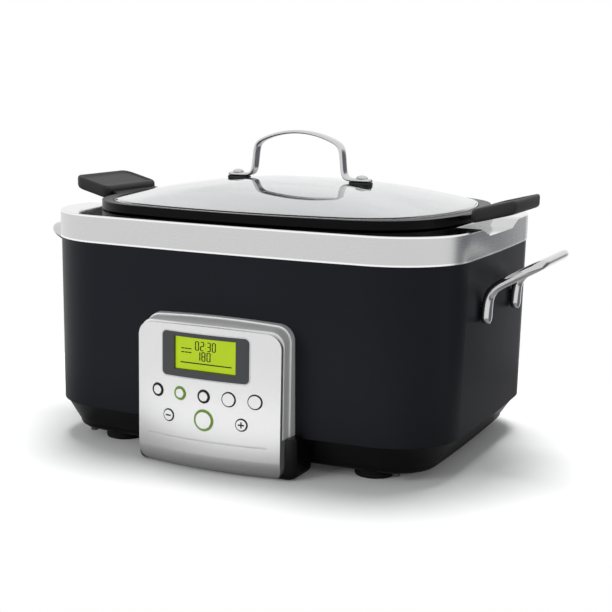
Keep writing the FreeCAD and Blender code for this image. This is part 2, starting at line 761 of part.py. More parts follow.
def make_wrap():
    blank = lofted("wrap_blank", "Additive", [(wrap_low, wrap_z), (wrap_high, rim_z)])
    core = lofted("wrap_core", "Additive", [(wrap_low.inset(s.sheet_wall), wrap_z),
                                            (wrap_high.inset(s.sheet_wall), rim_z)])
    reach = s.side_taper + overcut
    panel_holes = [cylinder("panel_hole", s.screw_radius + s.screw_gap, reach * 2,
                            (x, reach - wall_y(z), z), "-Y") for x, z in boss_spots()]
    window = box("cable_window", (s.cable_width, reach * 2, s.cable_height),
                 (-s.cable_width / 2, -half_y - reach, (s.boss_low + s.boss_high - s.cable_height) / 2))
    holes = group("wrap_holes", handle_holes() + panel_holes + [window])
    node(cut("wrap", blank, core, holes), "outer_wrap")
    return blank


def scoop_prism(name, sign, gap):
    """The scoop at one end of the rim, grown by a gap on its floor and walls."""
    inner = half_x - s.scoop_length - gap
    start = inner if sign > 0 else -inner - s.scoop_length * 2
    points = [(-s.scoop_floor / 2 - gap, top_z - s.scoop_depth - gap),
              (s.scoop_floor / 2 + gap, top_z - s.scoop_depth - gap),
              (s.scoop_width / 2 + gap, top_z + s.sheet_wall),
              (-s.scoop_width / 2 - gap, top_z + s.sheet_wall)]
    return prism(name, "YZ_Plane", start, s.scoop_length * 2, points)


def make_rim():
    blank = new_body("rim_blank")
    extrude(blank, "Pad", outline_sketch(blank, rim_outer, rim_z), s.rim_height)
    fillet(blank, level_edges(top_z), s.rim_roll)
    extrude(blank, "Pad", outline_sketch(blank, rim_tuck, rim_z - s.tuck_height), s.tuck_height)
    core = new_body("rim_core")
    tuck_inner = rim_tuck.inset(s.sheet_wall)
    extrude(core, "Pad", outline_sketch(core, tuck_inner, rim_z - s.tuck_height),
            s.tuck_height + s.sheet_wall)
    extrude(core, "Pad", outline_sketch(core, rim_outer.inset(s.sheet_wall), rim_z + s.sheet_wall),
            s.rim_height - s.sheet_wall * 2)
    opening = new_body("rim_opening")
    extrude(opening, "Pad", outline_sketch(opening, well_inner, rim_z), s.rim_height)
    scoops = [scoop_prism(f"scoop_{end}", sign, 0) for end, sign in ENDS]
    under = [scoop_prism(f"scoop_under_{end}", sign, s.sheet_wall) for end, sign in ENDS]
    skin = cut("rim_skin", blank, *scoops)
    space = cut("rim_space", core, *under)
    node(cut("rim", skin, space, opening), "top_rim")
    return under


# Heated well and what is in and under it

def well_at(shape, z):
    """A well outline at a height, following its taper."""
    return shape.inset(s.pot_taper * (rim_under - z) / well_depth)


def make_well(scoops_under):
    shell = new_body("well_shell")
    loft(shell, "Additive", [outline_sketch(shell, well_at(well_outer, well_z), well_z),
                             outline_sketch(shell, well_outer, rim_under)])
    flange = rim_outer.inset(s.sheet_wall + s.well_flange_gap)
    extrude(shell, "Pad", outline_sketch(shell, flange, rim_under - s.well_wall), s.well_wall)
    loft(shell, "Subtractive", [outline_sketch(shell, well_at(well_inner, well_floor), well_floor),
                                outline_sketch(shell, well_inner, rim_under)])
    stem_hole = new_sketch(shell, "XY_Plane", well_floor)
    draw_circle(stem_hole, 0, 0, s.sensor_stem + s.sensor_gap)
    extrude(shell, "Pocket", stem_hole, s.well_wall)
    node(cut("well", shell, *scoops_under), "heating_well")


def make_plate():
    plate = new_body("plate")
    outline = well_at(well_inner, plate_z).inset(s.plate_margin)
    extrude(plate, "Pad", outline_sketch(plate, outline, plate_z), s.plate_thickness)
    hole = new_sketch(plate, "XY_Plane", pot_z)
    draw_circle(hole, 0, 0, s.sensor_radius + s.sensor_gap)
    extrude(plate, "Pocket", hole, s.plate_thickness)
    node(plate, "heating_plate")
    element = doc.addObject("Part::Torus", "element")
    bind(element, "Radius1", s.element_radius)
    bind(element, "Radius2", s.element_tube)
    node(place(element, (0, 0, plate_z - s.element_tube)), "heating_element")
    posts = [cylinder(f"standoff_{label}", s.standoff_radius, s.standoff_height,
                      (x * s.standoff_x, y * s.standoff_y, well_floor)) for label, x, y in CORNERS]
    node(group("standoffs", posts), "plate_standoffs")


def make_sensor():
    cap = cylinder("sensor_cap_disc", s.sensor_radius, s.sensor_cap, (0, 0, pot_z - s.sensor_cap))
    bottom = well_z - s.sensor_tail
    stem = cylinder("sensor_stem_rod", s.sensor_stem, pot_z - bottom, (0, 0, bottom))
    node(fuse("sensor", cap, stem), "temperature_sensor")
    height = pot_z - s.sensor_cap - well_floor
    inside = s.sensor_stem + s.sensor_gap * 2
    tube = cylinder("spring_tube", inside + s.spring_wire, height, (0, 0, well_floor))
    bore = cylinder("spring_bore", inside, height, (0, 0, well_floor))
    node(cut("spring", tube, bore), "sensor_spring")


def make_insulation():
    low = well_z + s.blanket_low
    high = top_z - s.blanket_high
    inner = well_outer.inset(-s.blanket_gap)
    outer = inner.inset(-s.blanket_thickness)
    sleeve = new_body("blanket")
    loft(sleeve, "Additive", [outline_sketch(sleeve, well_at(outer, low), low),
                              outline_sketch(sleeve, well_at(outer, high), high)])
    loft(sleeve, "Subtractive", [outline_sketch(sleeve, well_at(inner, low), low),
                                 outline_sketch(sleeve, well_at(inner, high), high)])
    node(sleeve, "insulation_blanket")


def make_shield():
    """A sheet under the well on four bent legs, and the thermal fuse between them."""
    z = well_z - s.shield_drop
    x = s.shield_length / 2
    y = s.shield_width / 2
    sheet = box("shield_sheet", (s.shield_length, s.shield_width, s.shield_wall), (-x, -y, z))
    legs = []
    for label, side_x, side_y in CORNERS:
        leg_x = side_x * (x - s.shield_leg / 2) - s.shield_leg / 2
        leg_y = side_y * (y - s.shield_wall / 2) - s.shield_wall / 2
        legs.append(box(f"shield_leg_{label}", (s.shield_leg, s.shield_wall, s.shield_drop),
                        (leg_x, leg_y, z)))
    node(fuse("shield", sheet, *legs), "heat_shield")
    node(cylinder("fuse", s.fuse_radius, s.fuse_length,
                  (s.fuse_x - s.fuse_length / 2, 0, well_z - s.fuse_radius), "X"), "thermal_fuse")


def make_power_board():
    z = floor_z + s.board_rise
    node(box("mains_board", (s.board_length, s.board_width, s.board_thickness),
             (-s.board_length / 2, -s.board_width / 2, z)), "power_board")
    node(box("mains_relay", (s.relay_length, s.relay_width, s.relay_height),
             (-s.relay_length / 2, -s.relay_width / 2, z + s.board_thickness)), "power_relay")


# Side handles: a bent loop on each end wall, with a backing plate and two screws inside

def loop_points(sign):
    """Side view of a handle, from the wall outwards."""
    wall = half_x - s.end_taper
    out = half_x + s.handle_reach
    face = wall_x(handle_z) + s.handle_thickness
    low = s.handle_low
    bend = s.handle_low + s.handle_foot
    points = [(wall - s.handle_thickness, low), (face, low), (face, bend),
              (out, bend + s.handle_lift - s.handle_thickness), (out, bend + s.handle_lift),
              (wall - s.handle_thickness, bend + s.handle_thickness / 2)]
    if sign > 0:
        return points
    return [(-x, z) for x, z in reversed(points)]


def handle_plan(name, sign, out, half, corner):
    """A handle's plan as an upright block with rounded outer corners."""
    wall = half_x - s.end_taper - s.handle_thickness * 2
    points = [(wall, -half), (out, -half), (out, half), (wall, half)]
    if sign < 0:
        points = [(-x, y) for x, y in reversed(points)]
    tall = s.handle_foot + s.handle_lift + s.handle_thickness * 2
    block = prism(name, "XY_Plane", s.handle_low - s.handle_thickness, tall, points)
    fillet(block, straight_edges("z", (sign * out, -half, None), (sign * out, half, None)), corner)
    return block


def handle_front(end, sign):
    """A handle's view from its end: two round-footed legs under one block."""
    wall = half_x - s.end_taper - s.handle_thickness * 2
    reach = s.handle_reach + s.end_taper + s.handle_thickness * 2
    start = wall if sign > 0 else -wall - reach
    bend = s.handle_low + s.handle_foot
    pieces = []
    for side in (-1, 1):
        left = side * s.handle_half - s.handle_width / 2
        right = side * s.handle_half + s.handle_width / 2
        leg = prism(f"handle_leg_{end}", "YZ_Plane", start, reach,
                    [(left, s.handle_low), (right, s.handle_low), (right, bend), (left, bend)])
        lower = straight_edges("x", (None, left, s.handle_low), (None, right, s.handle_low))
        fillet(leg, lower, s.handle_round)
        pieces.append(leg)
    wide = s.handle_half + s.handle_width / 2
    upper = s.handle_low + s.handle_width
    pieces.append(box(f"handle_upper_{end}", (reach, wide * 2, s.handle_foot + s.handle_lift),
                      (start, -wide, upper)))
    return fuse(f"handle_front_{end}", *pieces)


def make_handle(end, sign, wrap_blank):
    wide = s.handle_half + s.handle_width / 2
    gap = s.handle_half - s.handle_width / 2
    out = half_x + s.handle_reach
    side_view = prism(f"handle_side_{end}", "XZ_Plane", -wide, wide * 2, loop_points(sign))
    outside = handle_plan(f"handle_plan_{end}", sign, out, wide, s.handle_corner)
    inside = handle_plan(f"handle_gap_{end}", sign, out - s.handle_bar, gap, s.handle_corner / 2)
    blank = common(f"handle_blank_{end}", side_view, outside, handle_front(end, sign))
    loop = cut(f"handle_loop_{end}", blank, inside, wrap_blank)
    bite_holes = []
    screws = []
    plate_outer = wall_x(handle_z) - s.sheet_wall - s.backing_gap
    plate_inner = plate_outer - s.backing_thickness
    length = s.backing_thickness + s.backing_gap + s.sheet_wall + s.handle_bite
    for side in (-1, 1):
        y = side * s.handle_half
        at_hole = plate_inner if sign > 0 else -plate_inner - length
        bite_holes.append(cylinder(f"bite_{end}", s.screw_radius + s.screw_gap, length,
                                   (at_hole, y, handle_z), "X"))
        shank = cylinder(f"handle_shank_{end}", s.screw_radius, length, (at_hole, y, handle_z), "X")
        at_head = plate_inner - s.screw_head_height if sign > 0 else -plate_inner
        head = cylinder(f"handle_head_{end}", s.screw_head, s.screw_head_height, (at_head, y, handle_z), "X")
        screws.append(fuse(f"handle_screw_{end}", shank, head))
    holes = group(f"bites_{end}", bite_holes)
    node(cut(f"handle_{end}", loop, holes), f"side_handle_{end}")
    at = plate_inner if sign > 0 else -plate_outer
    plate = box(f"backing_{end}", (s.backing_thickness, wide * 2, s.backing_height),
                (at, -wide, handle_z - s.backing_height / 2))
    node(cut(f"backing_cut_{end}", plate, holes), f"handle_plate_{end}")
    return screws


def make_handles(wrap_blank):
    screws = []
    for end, sign in ENDS:
        screws += make_handle(end, sign, wrap_blank)
    node(group("screws_handles", screws), "handle_screws")


# Control panel: everything in front follows one upright drum, the bow of the face

face_radius = bow_radius(s.face_half, s.face_bow)
drum_y = face_radius - panel_y - s.face_bow
board_front = half_y + s.control_gap + s.board_thickness
surround_back = half_y - s.side_taper - overcut


def drum(name, gap, low, roll=None):
    """Everything behind the bowed face, moved back by a gap, above a height."""
    height = s.face_high * 2
    if roll is None:
        return cylinder(name, face_radius - gap, height, (0, drum_y, low))
    body = new_body(name)
    sketch = new_sketch(body, "XY_Plane", low)
    draw_circle(sketch, 0, drum_y, face_radius - gap)
    extrude(body, "Pad", sketch, height)
    fillet(body, level_edges(low), roll)
    return body


def face_y(x):
    """Distance of the face in front of the middle at a place across it."""
    return (face_radius * face_radius - x * x).root() - drum_y


def face_block(name, gap):
    """The face's outline as a block along Y, made smaller by a gap."""
    half = s.face_half - gap
    low = s.face_low + gap
    high = s.face_high - gap
    block = prism(name, "XZ_Plane", panel_y - s.face_chin, s.face_chin * 2,
                  [(-half, low), (half, low), (half, high, s.face_arch), (-half, high)])
    fillet(block, straight_edges("y", (-half, None, high), (half, None, high)), s.face_corner - gap)
    fillet(block, straight_edges("y", (-half, None, low), (half, None, low)), s.face_low_corner - gap)
    return block


def surround_block(name, gap):
    """The surround as a block that opens out towards the housing."""
    body = new_body(name)
    sketches = []
    for offset, flare, rise in ((surround_back, s.surround_flare, s.surround_rise),
                                (panel_y + s.face_bow, 0, 0)):
        half = s.face_half + flare - gap
        high = s.face_high + rise - gap
        sketches.append(polygon_sketch(
            body, "XZ_Plane", offset,
            [(-half, s.toe_high), (half, s.toe_high), (half, high, s.face_arch), (-half, high)]))
    loft(body, "Additive", sketches)
    fillet(body, slanting_top_edges(s.toe_high), s.face_corner - gap)
    return body


def slanting_top_edges(low):
    """Test for the two long edges between the sides and the arched top."""
    height = low.value

    def test(edge):
        way = edge.tangentAt(edge.FirstParameter)
        return abs(way.y) > 0.9 and edge.CenterOfMass.z > height + 1
    return test


def button_table():
    """Name, place, cap radius, ring width and whether the ring is lit, for each button."""
    table = []
    for index in range(5):
        radius, ring = (s.button_radius, s.ring_width) if index < 3 else (s.toggle_radius, s.thin_ring)
        table.append((f"button_{index + 1}", (index - 2) * s.button_pitch, s.button_row, radius, ring,
                      index == 1))
    table.append(("button_start", formula(0), s.start_row, s.start_radius, s.ring_width, True))
    table.append(("button_minus", -s.step_x, s.start_row, s.step_radius, s.thin_ring, False))
    table.append(("button_plus", s.step_x, s.start_row, s.step_radius, s.thin_ring, False))
    return table


def along_face(name, radius, x, z):
    """A bar along Y through the face."""
    return cylinder(name, radius, s.face_chin, (x, s.face_chin / 2 - face_y(x), z), "-Y")


def make_face(base_blank, wrap_blank):
    solid = common("face_solid", face_block("face_outer", 0), drum("face_drum", 0, s.face_low, s.face_roll))
    inside = common("face_inside", face_block("face_inner", s.face_wall),
                    drum("face_inner_drum", s.face_wall, s.face_low + s.face_wall, s.face_roll - s.face_wall))
    behind = drum("face_behind", s.face_depth, s.toe_high)
    shell = cut("face_shell", solid, inside, behind)
    posts = [cylinder("face_post", s.control_post, s.face_chin * 2,
                      (side * s.control_post_x, -board_front, z), "-Y")
             for side in (-1, 1) for z in (s.control_post_low, s.control_post_high)]
    posts_cut = common("face_posts", group("face_post_bars", posts),
                       drum("post_drum", s.face_wall / 2, s.face_low))
    holes = [along_face("face_hole", radius + s.button_gap + ring, x, z)
             for label, x, z, radius, ring, lit in button_table()]
    opening = bezel_block("bezel_opening", 0)
    whole = fuse("face_with_posts", shell, posts_cut)
    node(cut("face", whole, group("face_holes", holes), opening, face_groove()), "panel_face")
    toe = toe_block()
    hollow = box("toe_hollow", (s.toe_half * 2 - s.base_wall * 2, s.base_side_taper + s.toe_reach,
                                s.toe_high - s.face_low - s.base_wall * 2),
                 (s.base_wall - s.toe_half, s.base_wall - half_y - s.toe_reach, s.face_low + s.base_wall))
    node(cut("toe", toe, base_blank, wrap_blank, solid, hollow), "panel_toe")


def face_groove():
    """A shallow level groove that follows the face's bow."""
    at = (0, drum_y, s.groove_z)
    ring = cut("groove_ring", cylinder("groove_outer", face_radius + s.groove_depth, s.groove_width, at),
               cylinder("groove_inner", face_radius - s.groove_depth, s.groove_width, at))
    span = box("groove_span", (s.groove_half * 2, panel_y * 2, s.groove_width),
               (-s.groove_half, -panel_y * 2, s.groove_z))
    return common("groove", ring, span)


def toe_block():
    """The black block under the panel, rounded in front and below."""
    front = -half_y - s.toe_reach
    back = s.base_wall + s.base_side_taper - half_y
    block = prism("toe_block", "XY_Plane", s.face_low, s.toe_high - s.face_low,
                  [(-s.toe_half, front), (s.toe_half, front), (s.toe_half, back), (-s.toe_half, back)])
    fillet(block, straight_edges("z", (-s.toe_half, front, None), (s.toe_half, front, None)), s.toe_corner)
    fillet(block, level_edges(s.face_low), s.toe_roll)
    return block


def make_surround(wrap_blank):
    outer = surround_block("surround_outer", 0)
    inner = surround_block("surround_inner", s.surround_wall)
    behind = drum("surround_drum", s.face_depth, s.face_low)
    to_wall = half_y - surround_back
    bead = common("bead_ring", surround_block("bead_outer", -s.bead_proud),
                  box("bead_slab", (s.toe_half * 4, s.bead_depth + to_wall, s.face_high * 2),
                      (-s.toe_half * 2, -half_y - s.bead_depth, s.face_low)))
    walls = cut("surround_walls", fuse("surround_bead", common("surround_body", outer, behind), bead),
                inner, wrap_blank)
    bosses = [cylinder("surround_boss", s.boss_radius, s.boss_length + to_wall, (x, -surround_back, z), "-Y")
              for x, z in boss_spots()]
    bosses_inside = cut("surround_bosses", common("bosses_inside", group("boss_bars", bosses), outer),
                        wrap_blank)
    bite = [cylinder("boss_hole", s.screw_radius + s.screw_gap, s.boss_length + overcut,
                     (x, overcut - wall_y(z), z), "-Y") for x, z in boss_spots()]
    node(cut("surround", fuse("surround_with_bosses", walls, bosses_inside), group("boss_holes", bite)),
         "panel_surround")
    screws = []
    for index, (x, z) in enumerate(boss_spots()):
        start = s.sheet_wall + s.backing_gap - wall_y(z)
        screws.append(screw(f"panel_screw_{index}", (x, start, z), "-Y", s.boss_length))
    node(group("screws_panel", screws), "panel_screws")


def bezel_block(name, gap):
    """The display bezel's outline as a block along Y."""
    half = s.bezel_half - gap
    low = s.bezel_low + gap
    high = s.bezel_high - gap
    block = prism(name, "XZ_Plane", panel_y - s.face_depth, s.face_chin,
                  [(-half, low), (half, low), (half, high), (-half, high)])
    fillet(block, straight_edges("y", (-half, None, low), (half, None, low), (-half, None, high),
                                 (half, None, high)), s.bezel_corner)
    return block


def make_display():
    front = drum("bezel_drum", -s.bezel_proud, s.face_low)
    back = drum("bezel_back", s.bezel_depth, s.face_low)
    apex = panel_y + s.face_bow
    tall = s.window_high - s.window_low
    wide = s.window_half * 2
    opening = box("window_opening", (wide + s.fit_gap * 2, s.face_chin * 2, tall + s.fit_gap * 2),
                  (-s.window_half - s.fit_gap, -apex - s.face_chin, s.window_low - s.fit_gap))
    node(cut("bezel", common("bezel_front", bezel_block("bezel_bar", s.fit_gap / 2), front), back, opening),
         "lcd_bezel")
    node(box("window", (wide, s.window_thickness, tall),
             (-s.window_half, s.window_recess - apex, s.window_low)), "lcd_window")
    front_y = apex - s.module_recess
    module_tall = s.bezel_high - s.bezel_low - s.module_margin * 2
    node(box("module", (s.module_half * 2, front_y - board_front, module_tall),
             (-s.module_half, -front_y, s.bezel_low + s.module_margin)), "lcd_module")
    node(box("panel_board", (s.control_half * 2, s.board_thickness, s.control_high - s.control_low),
             (-s.control_half, -board_front, s.control_low)), "control_board")


def make_buttons():
    proud = drum("button_drum", -s.button_proud, s.face_low)
    ring_front = drum("ring_drum", -s.bezel_proud, s.face_low)
    ring_back = drum("ring_back", s.face_wall, s.face_low)
    plain, lit_rings, switches = [], [], []
    switch_top = board_front + s.switch_height
    for label, x, z, radius, ring, lit in button_table():
        bore = radius + s.button_gap
        rim = cut(f"{label}_rim", along_face(f"{label}_ring", bore + ring, x, z),
                  along_face(f"{label}_bore", bore, x, z))
        collar = cut(f"{label}_ring_cut", common(f"{label}_ring_front", rim, ring_front), ring_back)
        (lit_rings if lit else plain).append(collar)
        switches.append(box(f"{label}_switch", (s.switch_side, s.switch_height, s.switch_side),
                            (x - s.switch_side / 2, -switch_top, z - s.switch_side / 2)))
        flange_y = face_y(x) - s.face_wall - s.flange_back
        back_y = flange_y - s.button_flange
        end_y = switch_top + s.button_travel + s.switch_gap
        bar = cylinder(f"{label}_bar", radius, s.face_chin, (x, -flange_y, z), "-Y")
        cap = common(f"{label}_cap", bar, proud)
        disc = cylinder(f"{label}_disc", bore + ring, s.button_flange, (x, -back_y, z), "-Y")
        stem = cylinder(f"{label}_stem", s.stem_radius, back_y - end_y, (x, -end_y, z), "-Y")
        node(fuse(f"{label}_whole", cap, disc, stem), label)
    node(group("rings", plain), "button_rings")
    node(group("rings_lit", lit_rings), "light_rings")
    node(group("switches", switches), "button_switches")


# Pot with its tabs, and the grips that slide over the tabs

grip_x = lip.x + s.grip_start
grip_slope = s.grip_rise / s.grip_length
tab_middle = pot_top - s.tab_drop


def tilted(sign, start, length, low, high):
    """Side view of a slab that rises outwards, as steps above and below the tab's middle line."""
    points = []
    for x, step in ((start, -low), (start + length, -low), (start + length, high), (start, high)):
        points.append((x, tab_middle + (x - lip.x) * grip_slope + step))
    if sign > 0:
        return points
    return [(-x, z) for x, z in reversed(points)]


def tab_prism(name, sign, gap):
    half = s.tab_half + gap
    thick = s.tab_thickness / 2 + gap
    start = mouth.x + s.pot_wall
    length = grip_x + s.grip_length - s.tab_thickness - start + gap
    return prism(name, "XZ_Plane", -half, half * 2, tilted(sign, start, length, thick, thick))


def make_pot():
    outside = new_body("pot_outside")
    loft(outside, "Additive", [outline_sketch(outside, pot_outer.inset(s.pot_taper), pot_z),
                               outline_sketch(outside, pot_outer, lip_z)])
    fillet(outside, level_edges(pot_z), s.pot_roll)
    extrude(outside, "Pad", outline_sketch(outside, lip, lip_z), s.lip_thickness)
    cove = lofted("pot_cove", "Additive", [(pot_outer.inset(-s.lip_cove * up), lip_z - s.lip_cove * out)
                                           for out, up in quarter_steps()], ruled=True)
    inner_z = pot_z + s.pot_wall
    inner_roll = s.pot_roll - s.pot_wall
    rolled = [(mouth.inset(s.pot_taper + inner_roll * out), inner_z + inner_roll * up)
              for out, up in quarter_steps()]
    inside = lofted("pot_inside", "Additive", rolled + [(mouth, pot_top)], ruled=True)
    seat = new_body("lid_seat")
    extrude(seat, "Pad", outline_sketch(seat, lid_outer.inset(-s.seat_gap), seat_z), s.seat_depth)
    tabs = [tab_prism(f"tab_{end}", sign, 0) for end, sign in ENDS]
    node(cut("pot", fuse("pot_with_tabs", outside, cove, *tabs), inside, seat), "cooking_pot")


def make_grips():
    for end, sign in ENDS:
        half = s.grip_half
        thick = s.grip_thickness / 2
        blank = prism(f"grip_blank_{end}", "XZ_Plane", -half, half * 2,
                      tilted(sign, grip_x, s.grip_length, thick, thick))
        out = sign * (grip_x + s.grip_length)
        fillet(blank, straight_edges("z", (out, -half, None), (out, half, None)), s.grip_corner)
        inner = sign * grip_x
        fillet(blank, straight_edges("z", (inner, -half, None), (inner, half, None)), s.grip_inner_corner)
        node(cut(f"grip_cut_{end}", blank, tab_prism(f"tab_gap_{end}", sign, s.fit_gap)), f"grip_{end}")


# Lid: glass dome in a steel band, with a strap handle

band_z = seat_z
glass_z = band_z + s.band_wall
glass_outline = lid_outer.inset(s.band_wall + s.fit_gap)
DOME_SHARES = (1.0, 0.82, 0.6, 0.36, 0.1)


def dome_height(share):
    """Rise of the dome where the outline has shrunk to a share of its size."""
    return s.glass_rise * (1 - share * share)


def dome_levels(low, shape):
    return [(shape.scaled(share), low + dome_height(share)) for share in DOME_SHARES]


glass_inside = glass_outline.inset(s.band_shelf)
glass_top_at_screw = glass_z + s.glass_thickness + dome_height(s.lid_screw_x / glass_outline.x)
glass_under_nut = glass_z + dome_height((s.lid_screw_x + s.nut_radius) / glass_inside.x)
strap_z = glass_top_at_screw + s.washer_height
nut_z = glass_under_nut - s.fit_gap - s.nut_height


def make_lid():
    band = new_body("band")
    extrude(band, "Pad", outline_sketch(band, lid_outer, band_z), s.band_height)
    skirt = mouth.inset(s.skirt_gap)
    extrude(band, "Pad", outline_sketch(band, skirt, band_z - s.skirt_depth), s.skirt_depth)
    extrude(band, "Pocket", outline_sketch(band, glass_outline.inset(-s.fit_gap), band_z + s.band_height),
            s.band_height - s.band_wall)
    hole = skirt.inset(s.band_wall)
    extrude(band, "Pocket", outline_sketch(band, hole, glass_z), s.band_wall + s.skirt_depth)
    node(band, "lid_rim")
    outside = new_body("glass_outside")
    extrude(outside, "Pad", outline_sketch(outside, glass_outline, glass_z), s.glass_thickness)
    loft(outside, "Additive", [outline_sketch(outside, shape, z)
                               for shape, z in dome_levels(glass_z + s.glass_thickness, glass_outline)])
    inside = lofted("glass_inside", "Additive", dome_levels(glass_z, glass_inside))
    holes = []
    screws = []
    nuts = []
    washers = []
    top = strap_z + s.strap_thickness
    pad_inner = s.strap_post - s.strap_thickness + s.foot_bend
    pad_length = s.strap_foot - pad_inner
    pad_middle = pad_inner + pad_length / 2
    for end, sign in ENDS:
        x = sign * s.lid_screw_x
        holes.append(cylinder(f"lid_hole_{end}", s.lid_screw_radius + s.screw_gap, top - nut_z,
                              (x, 0, nut_z)))
        pad = box(f"pad_block_{end}", (pad_length, s.strap_width, s.washer_height + s.glass_thickness / 2),
                  (sign * pad_middle - pad_length / 2, -s.strap_width / 2,
                   glass_top_at_screw - s.glass_thickness / 2))
        washers.append(cut(f"washer_{end}", pad, outside, holes[-1]))
    drilled = group("lid_holes", holes)
    node(cut("glass", outside, inside, drilled), "lid_glass")
    node(group("washers", washers), "lid_washers")
    for end, sign in ENDS:
        x = sign * s.lid_screw_x
        shank = cylinder(f"lid_shank_{end}", s.lid_screw_radius, top - nut_z, (x, 0, nut_z))
        dome = lid_screw_head(f"lid_dome_{end}", x, top)
        screws.append(fuse(f"lid_screw_{end}", shank, dome))
        nut = cylinder(f"nut_disc_{end}", s.nut_radius, s.nut_height, (x, 0, nut_z))
        bore = cylinder(f"nut_bore_{end}", s.lid_screw_radius + s.screw_gap, s.nut_height, (x, 0, nut_z))
        nuts.append(cut(f"nut_{end}", nut, bore))
    node(group("lid_screw_pair", screws), "lid_screws")
    node(group("nut_pair", nuts), "lid_nuts")
    make_strap(drilled)


def lid_screw_head(name, x, z):
    """A shallow dome on the strap."""
    radius = bow_radius(s.lid_screw_head, s.lid_screw_dome)
    ball = doc.addObject("Part::Sphere", f"{name}_ball")
    bind(ball, "Radius", radius)
    place(ball, (x, 0, z + s.lid_screw_dome - radius))
    return common(name, ball, cylinder(f"{name}_disc", s.lid_screw_head, s.lid_screw_dome, (x, 0, z)))


def make_strap(drilled):
    low = strap_z
    high = low + s.strap_thickness
    post = s.strap_post
    lean = post - s.strap_lean
    inner = post - s.strap_thickness
    inner_lean = lean - s.strap_thickness
    shoulder = low + s.strap_rise
    under = shoulder - s.strap_thickness
    right = [(s.strap_foot, low), (s.strap_foot, high), (post, high), (lean, shoulder, s.strap_arch)]
    left = [(-lean, shoulder), (-post, high), (-s.strap_foot, high), (-s.strap_foot, low)]
    below = [(-inner, low), (-inner_lean, under, -s.strap_arch), (inner_lean, under), (inner, low)]
    strap = prism("strap", "XZ_Plane", -s.strap_width / 2, s.strap_width, right + left + below)
    fillet(strap, straight_edges("y", (lean, None, shoulder), (-lean, None, shoulder)), s.strap_bend)
    fillet(strap, straight_edges("y", (inner_lean, None, under), (-inner_lean, None, under)),
           s.strap_bend - s.strap_thickness)
    fillet(strap, straight_edges("y", (inner, None, low), (-inner, None, low)), s.foot_bend)
    fillet(strap, straight_edges("y", (post, None, high), (-post, None, high)),
           s.foot_bend - s.strap_thickness)
    node(cut("strap_drilled", strap, drilled), "lid_handle")


# Build

base_solid = make_base()
make_feet()
make_tie_rods()
make_gland(base_solid)
wrap_solid = make_wrap()
scoops_below = make_rim()
make_well(scoops_below)
make_plate()
make_sensor()
make_insulation()
make_shield()
make_power_board()
make_handles(wrap_solid)
make_face(base_solid, wrap_solid)
make_surround(wrap_solid)
make_display()
make_buttons()
make_pot()
make_grips()
make_lid()
doc.recompute()

# Every object must have come out well before any piece is written

failed = [thing.Label for thing in doc.Objects if "Invalid" in thing.State or "Error" in thing.State]
failed += [piece.Label for piece in nodes
           if piece.Shape.isNull() or not piece.Shape.isValid() or not piece.Shape.Solids]
if failed:
    raise RuntimeError(f"failed: {failed}")

os.makedirs("parts", exist_ok=True)
for piece in nodes:
    piece.Shape.exportStep(f"parts/{piece.Label}.step")
    size = piece.Shape.BoundBox
    print(f"{piece.Label}: {len(piece.Shape.Solids)} solids, volume {piece.Shape.Volume:.0f}, "
          f"{size.XLength:.1f} x {size.YLength:.1f} x {size.ZLength:.1f}")
print(len(nodes), "nodes")
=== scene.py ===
# %% [markdown]
# This lesson dresses a family slow cooker. The construction comes packed: every piece has its place and size
# in one frame, in metres, with the control panel facing -Y and the table at Z = 0. Here we give each surface its
# finish, swap plain pieces for fuller meshes that ride on the same bodies, and set up a portrait of the whole.

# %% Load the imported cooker
import json
import math
import bmesh
import bpy
from mathutils import Matrix, Vector
from mathutils.geometry import interpolate_bezier


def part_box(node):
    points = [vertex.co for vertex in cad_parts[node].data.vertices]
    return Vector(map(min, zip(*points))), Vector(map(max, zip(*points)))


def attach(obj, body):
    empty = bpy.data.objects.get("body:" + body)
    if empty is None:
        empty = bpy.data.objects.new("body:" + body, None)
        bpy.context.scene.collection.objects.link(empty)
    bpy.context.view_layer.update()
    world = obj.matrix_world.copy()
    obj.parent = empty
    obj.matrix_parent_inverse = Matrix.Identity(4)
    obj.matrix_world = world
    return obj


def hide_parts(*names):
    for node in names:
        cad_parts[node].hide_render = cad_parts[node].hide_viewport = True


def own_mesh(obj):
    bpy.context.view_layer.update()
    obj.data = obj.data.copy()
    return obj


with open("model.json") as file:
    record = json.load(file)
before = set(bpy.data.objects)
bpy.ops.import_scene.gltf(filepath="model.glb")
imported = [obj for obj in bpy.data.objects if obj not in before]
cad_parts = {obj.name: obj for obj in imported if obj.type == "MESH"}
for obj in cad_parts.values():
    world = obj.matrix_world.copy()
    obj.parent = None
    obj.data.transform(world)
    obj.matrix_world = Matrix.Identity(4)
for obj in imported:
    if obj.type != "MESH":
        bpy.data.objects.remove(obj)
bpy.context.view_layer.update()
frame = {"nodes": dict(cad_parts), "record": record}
nodes = frame["nodes"]
scene = bpy.context.scene
MM = 0.001

# %% [markdown]
# The camera stands where a photographer would: a little to the right, a little above the lid. A constraint could
# aim it at the cooker, but a place and three turns also hold the slight roll of a camera held by hand. Yaw comes
# first in the product because the last factor of a matrix product acts first.

# %% Camera
CAMERA_PLACE = Vector((450.1, -957.0, 291.5)) * MM
CAMERA_YAW = math.radians(24.77)
CAMERA_PITCH = math.radians(10.17)
CAMERA_ROLL = math.radians(1.09)
FOCAL_LENGTH = 77.12
SENSOR_WIDTH = 36.0


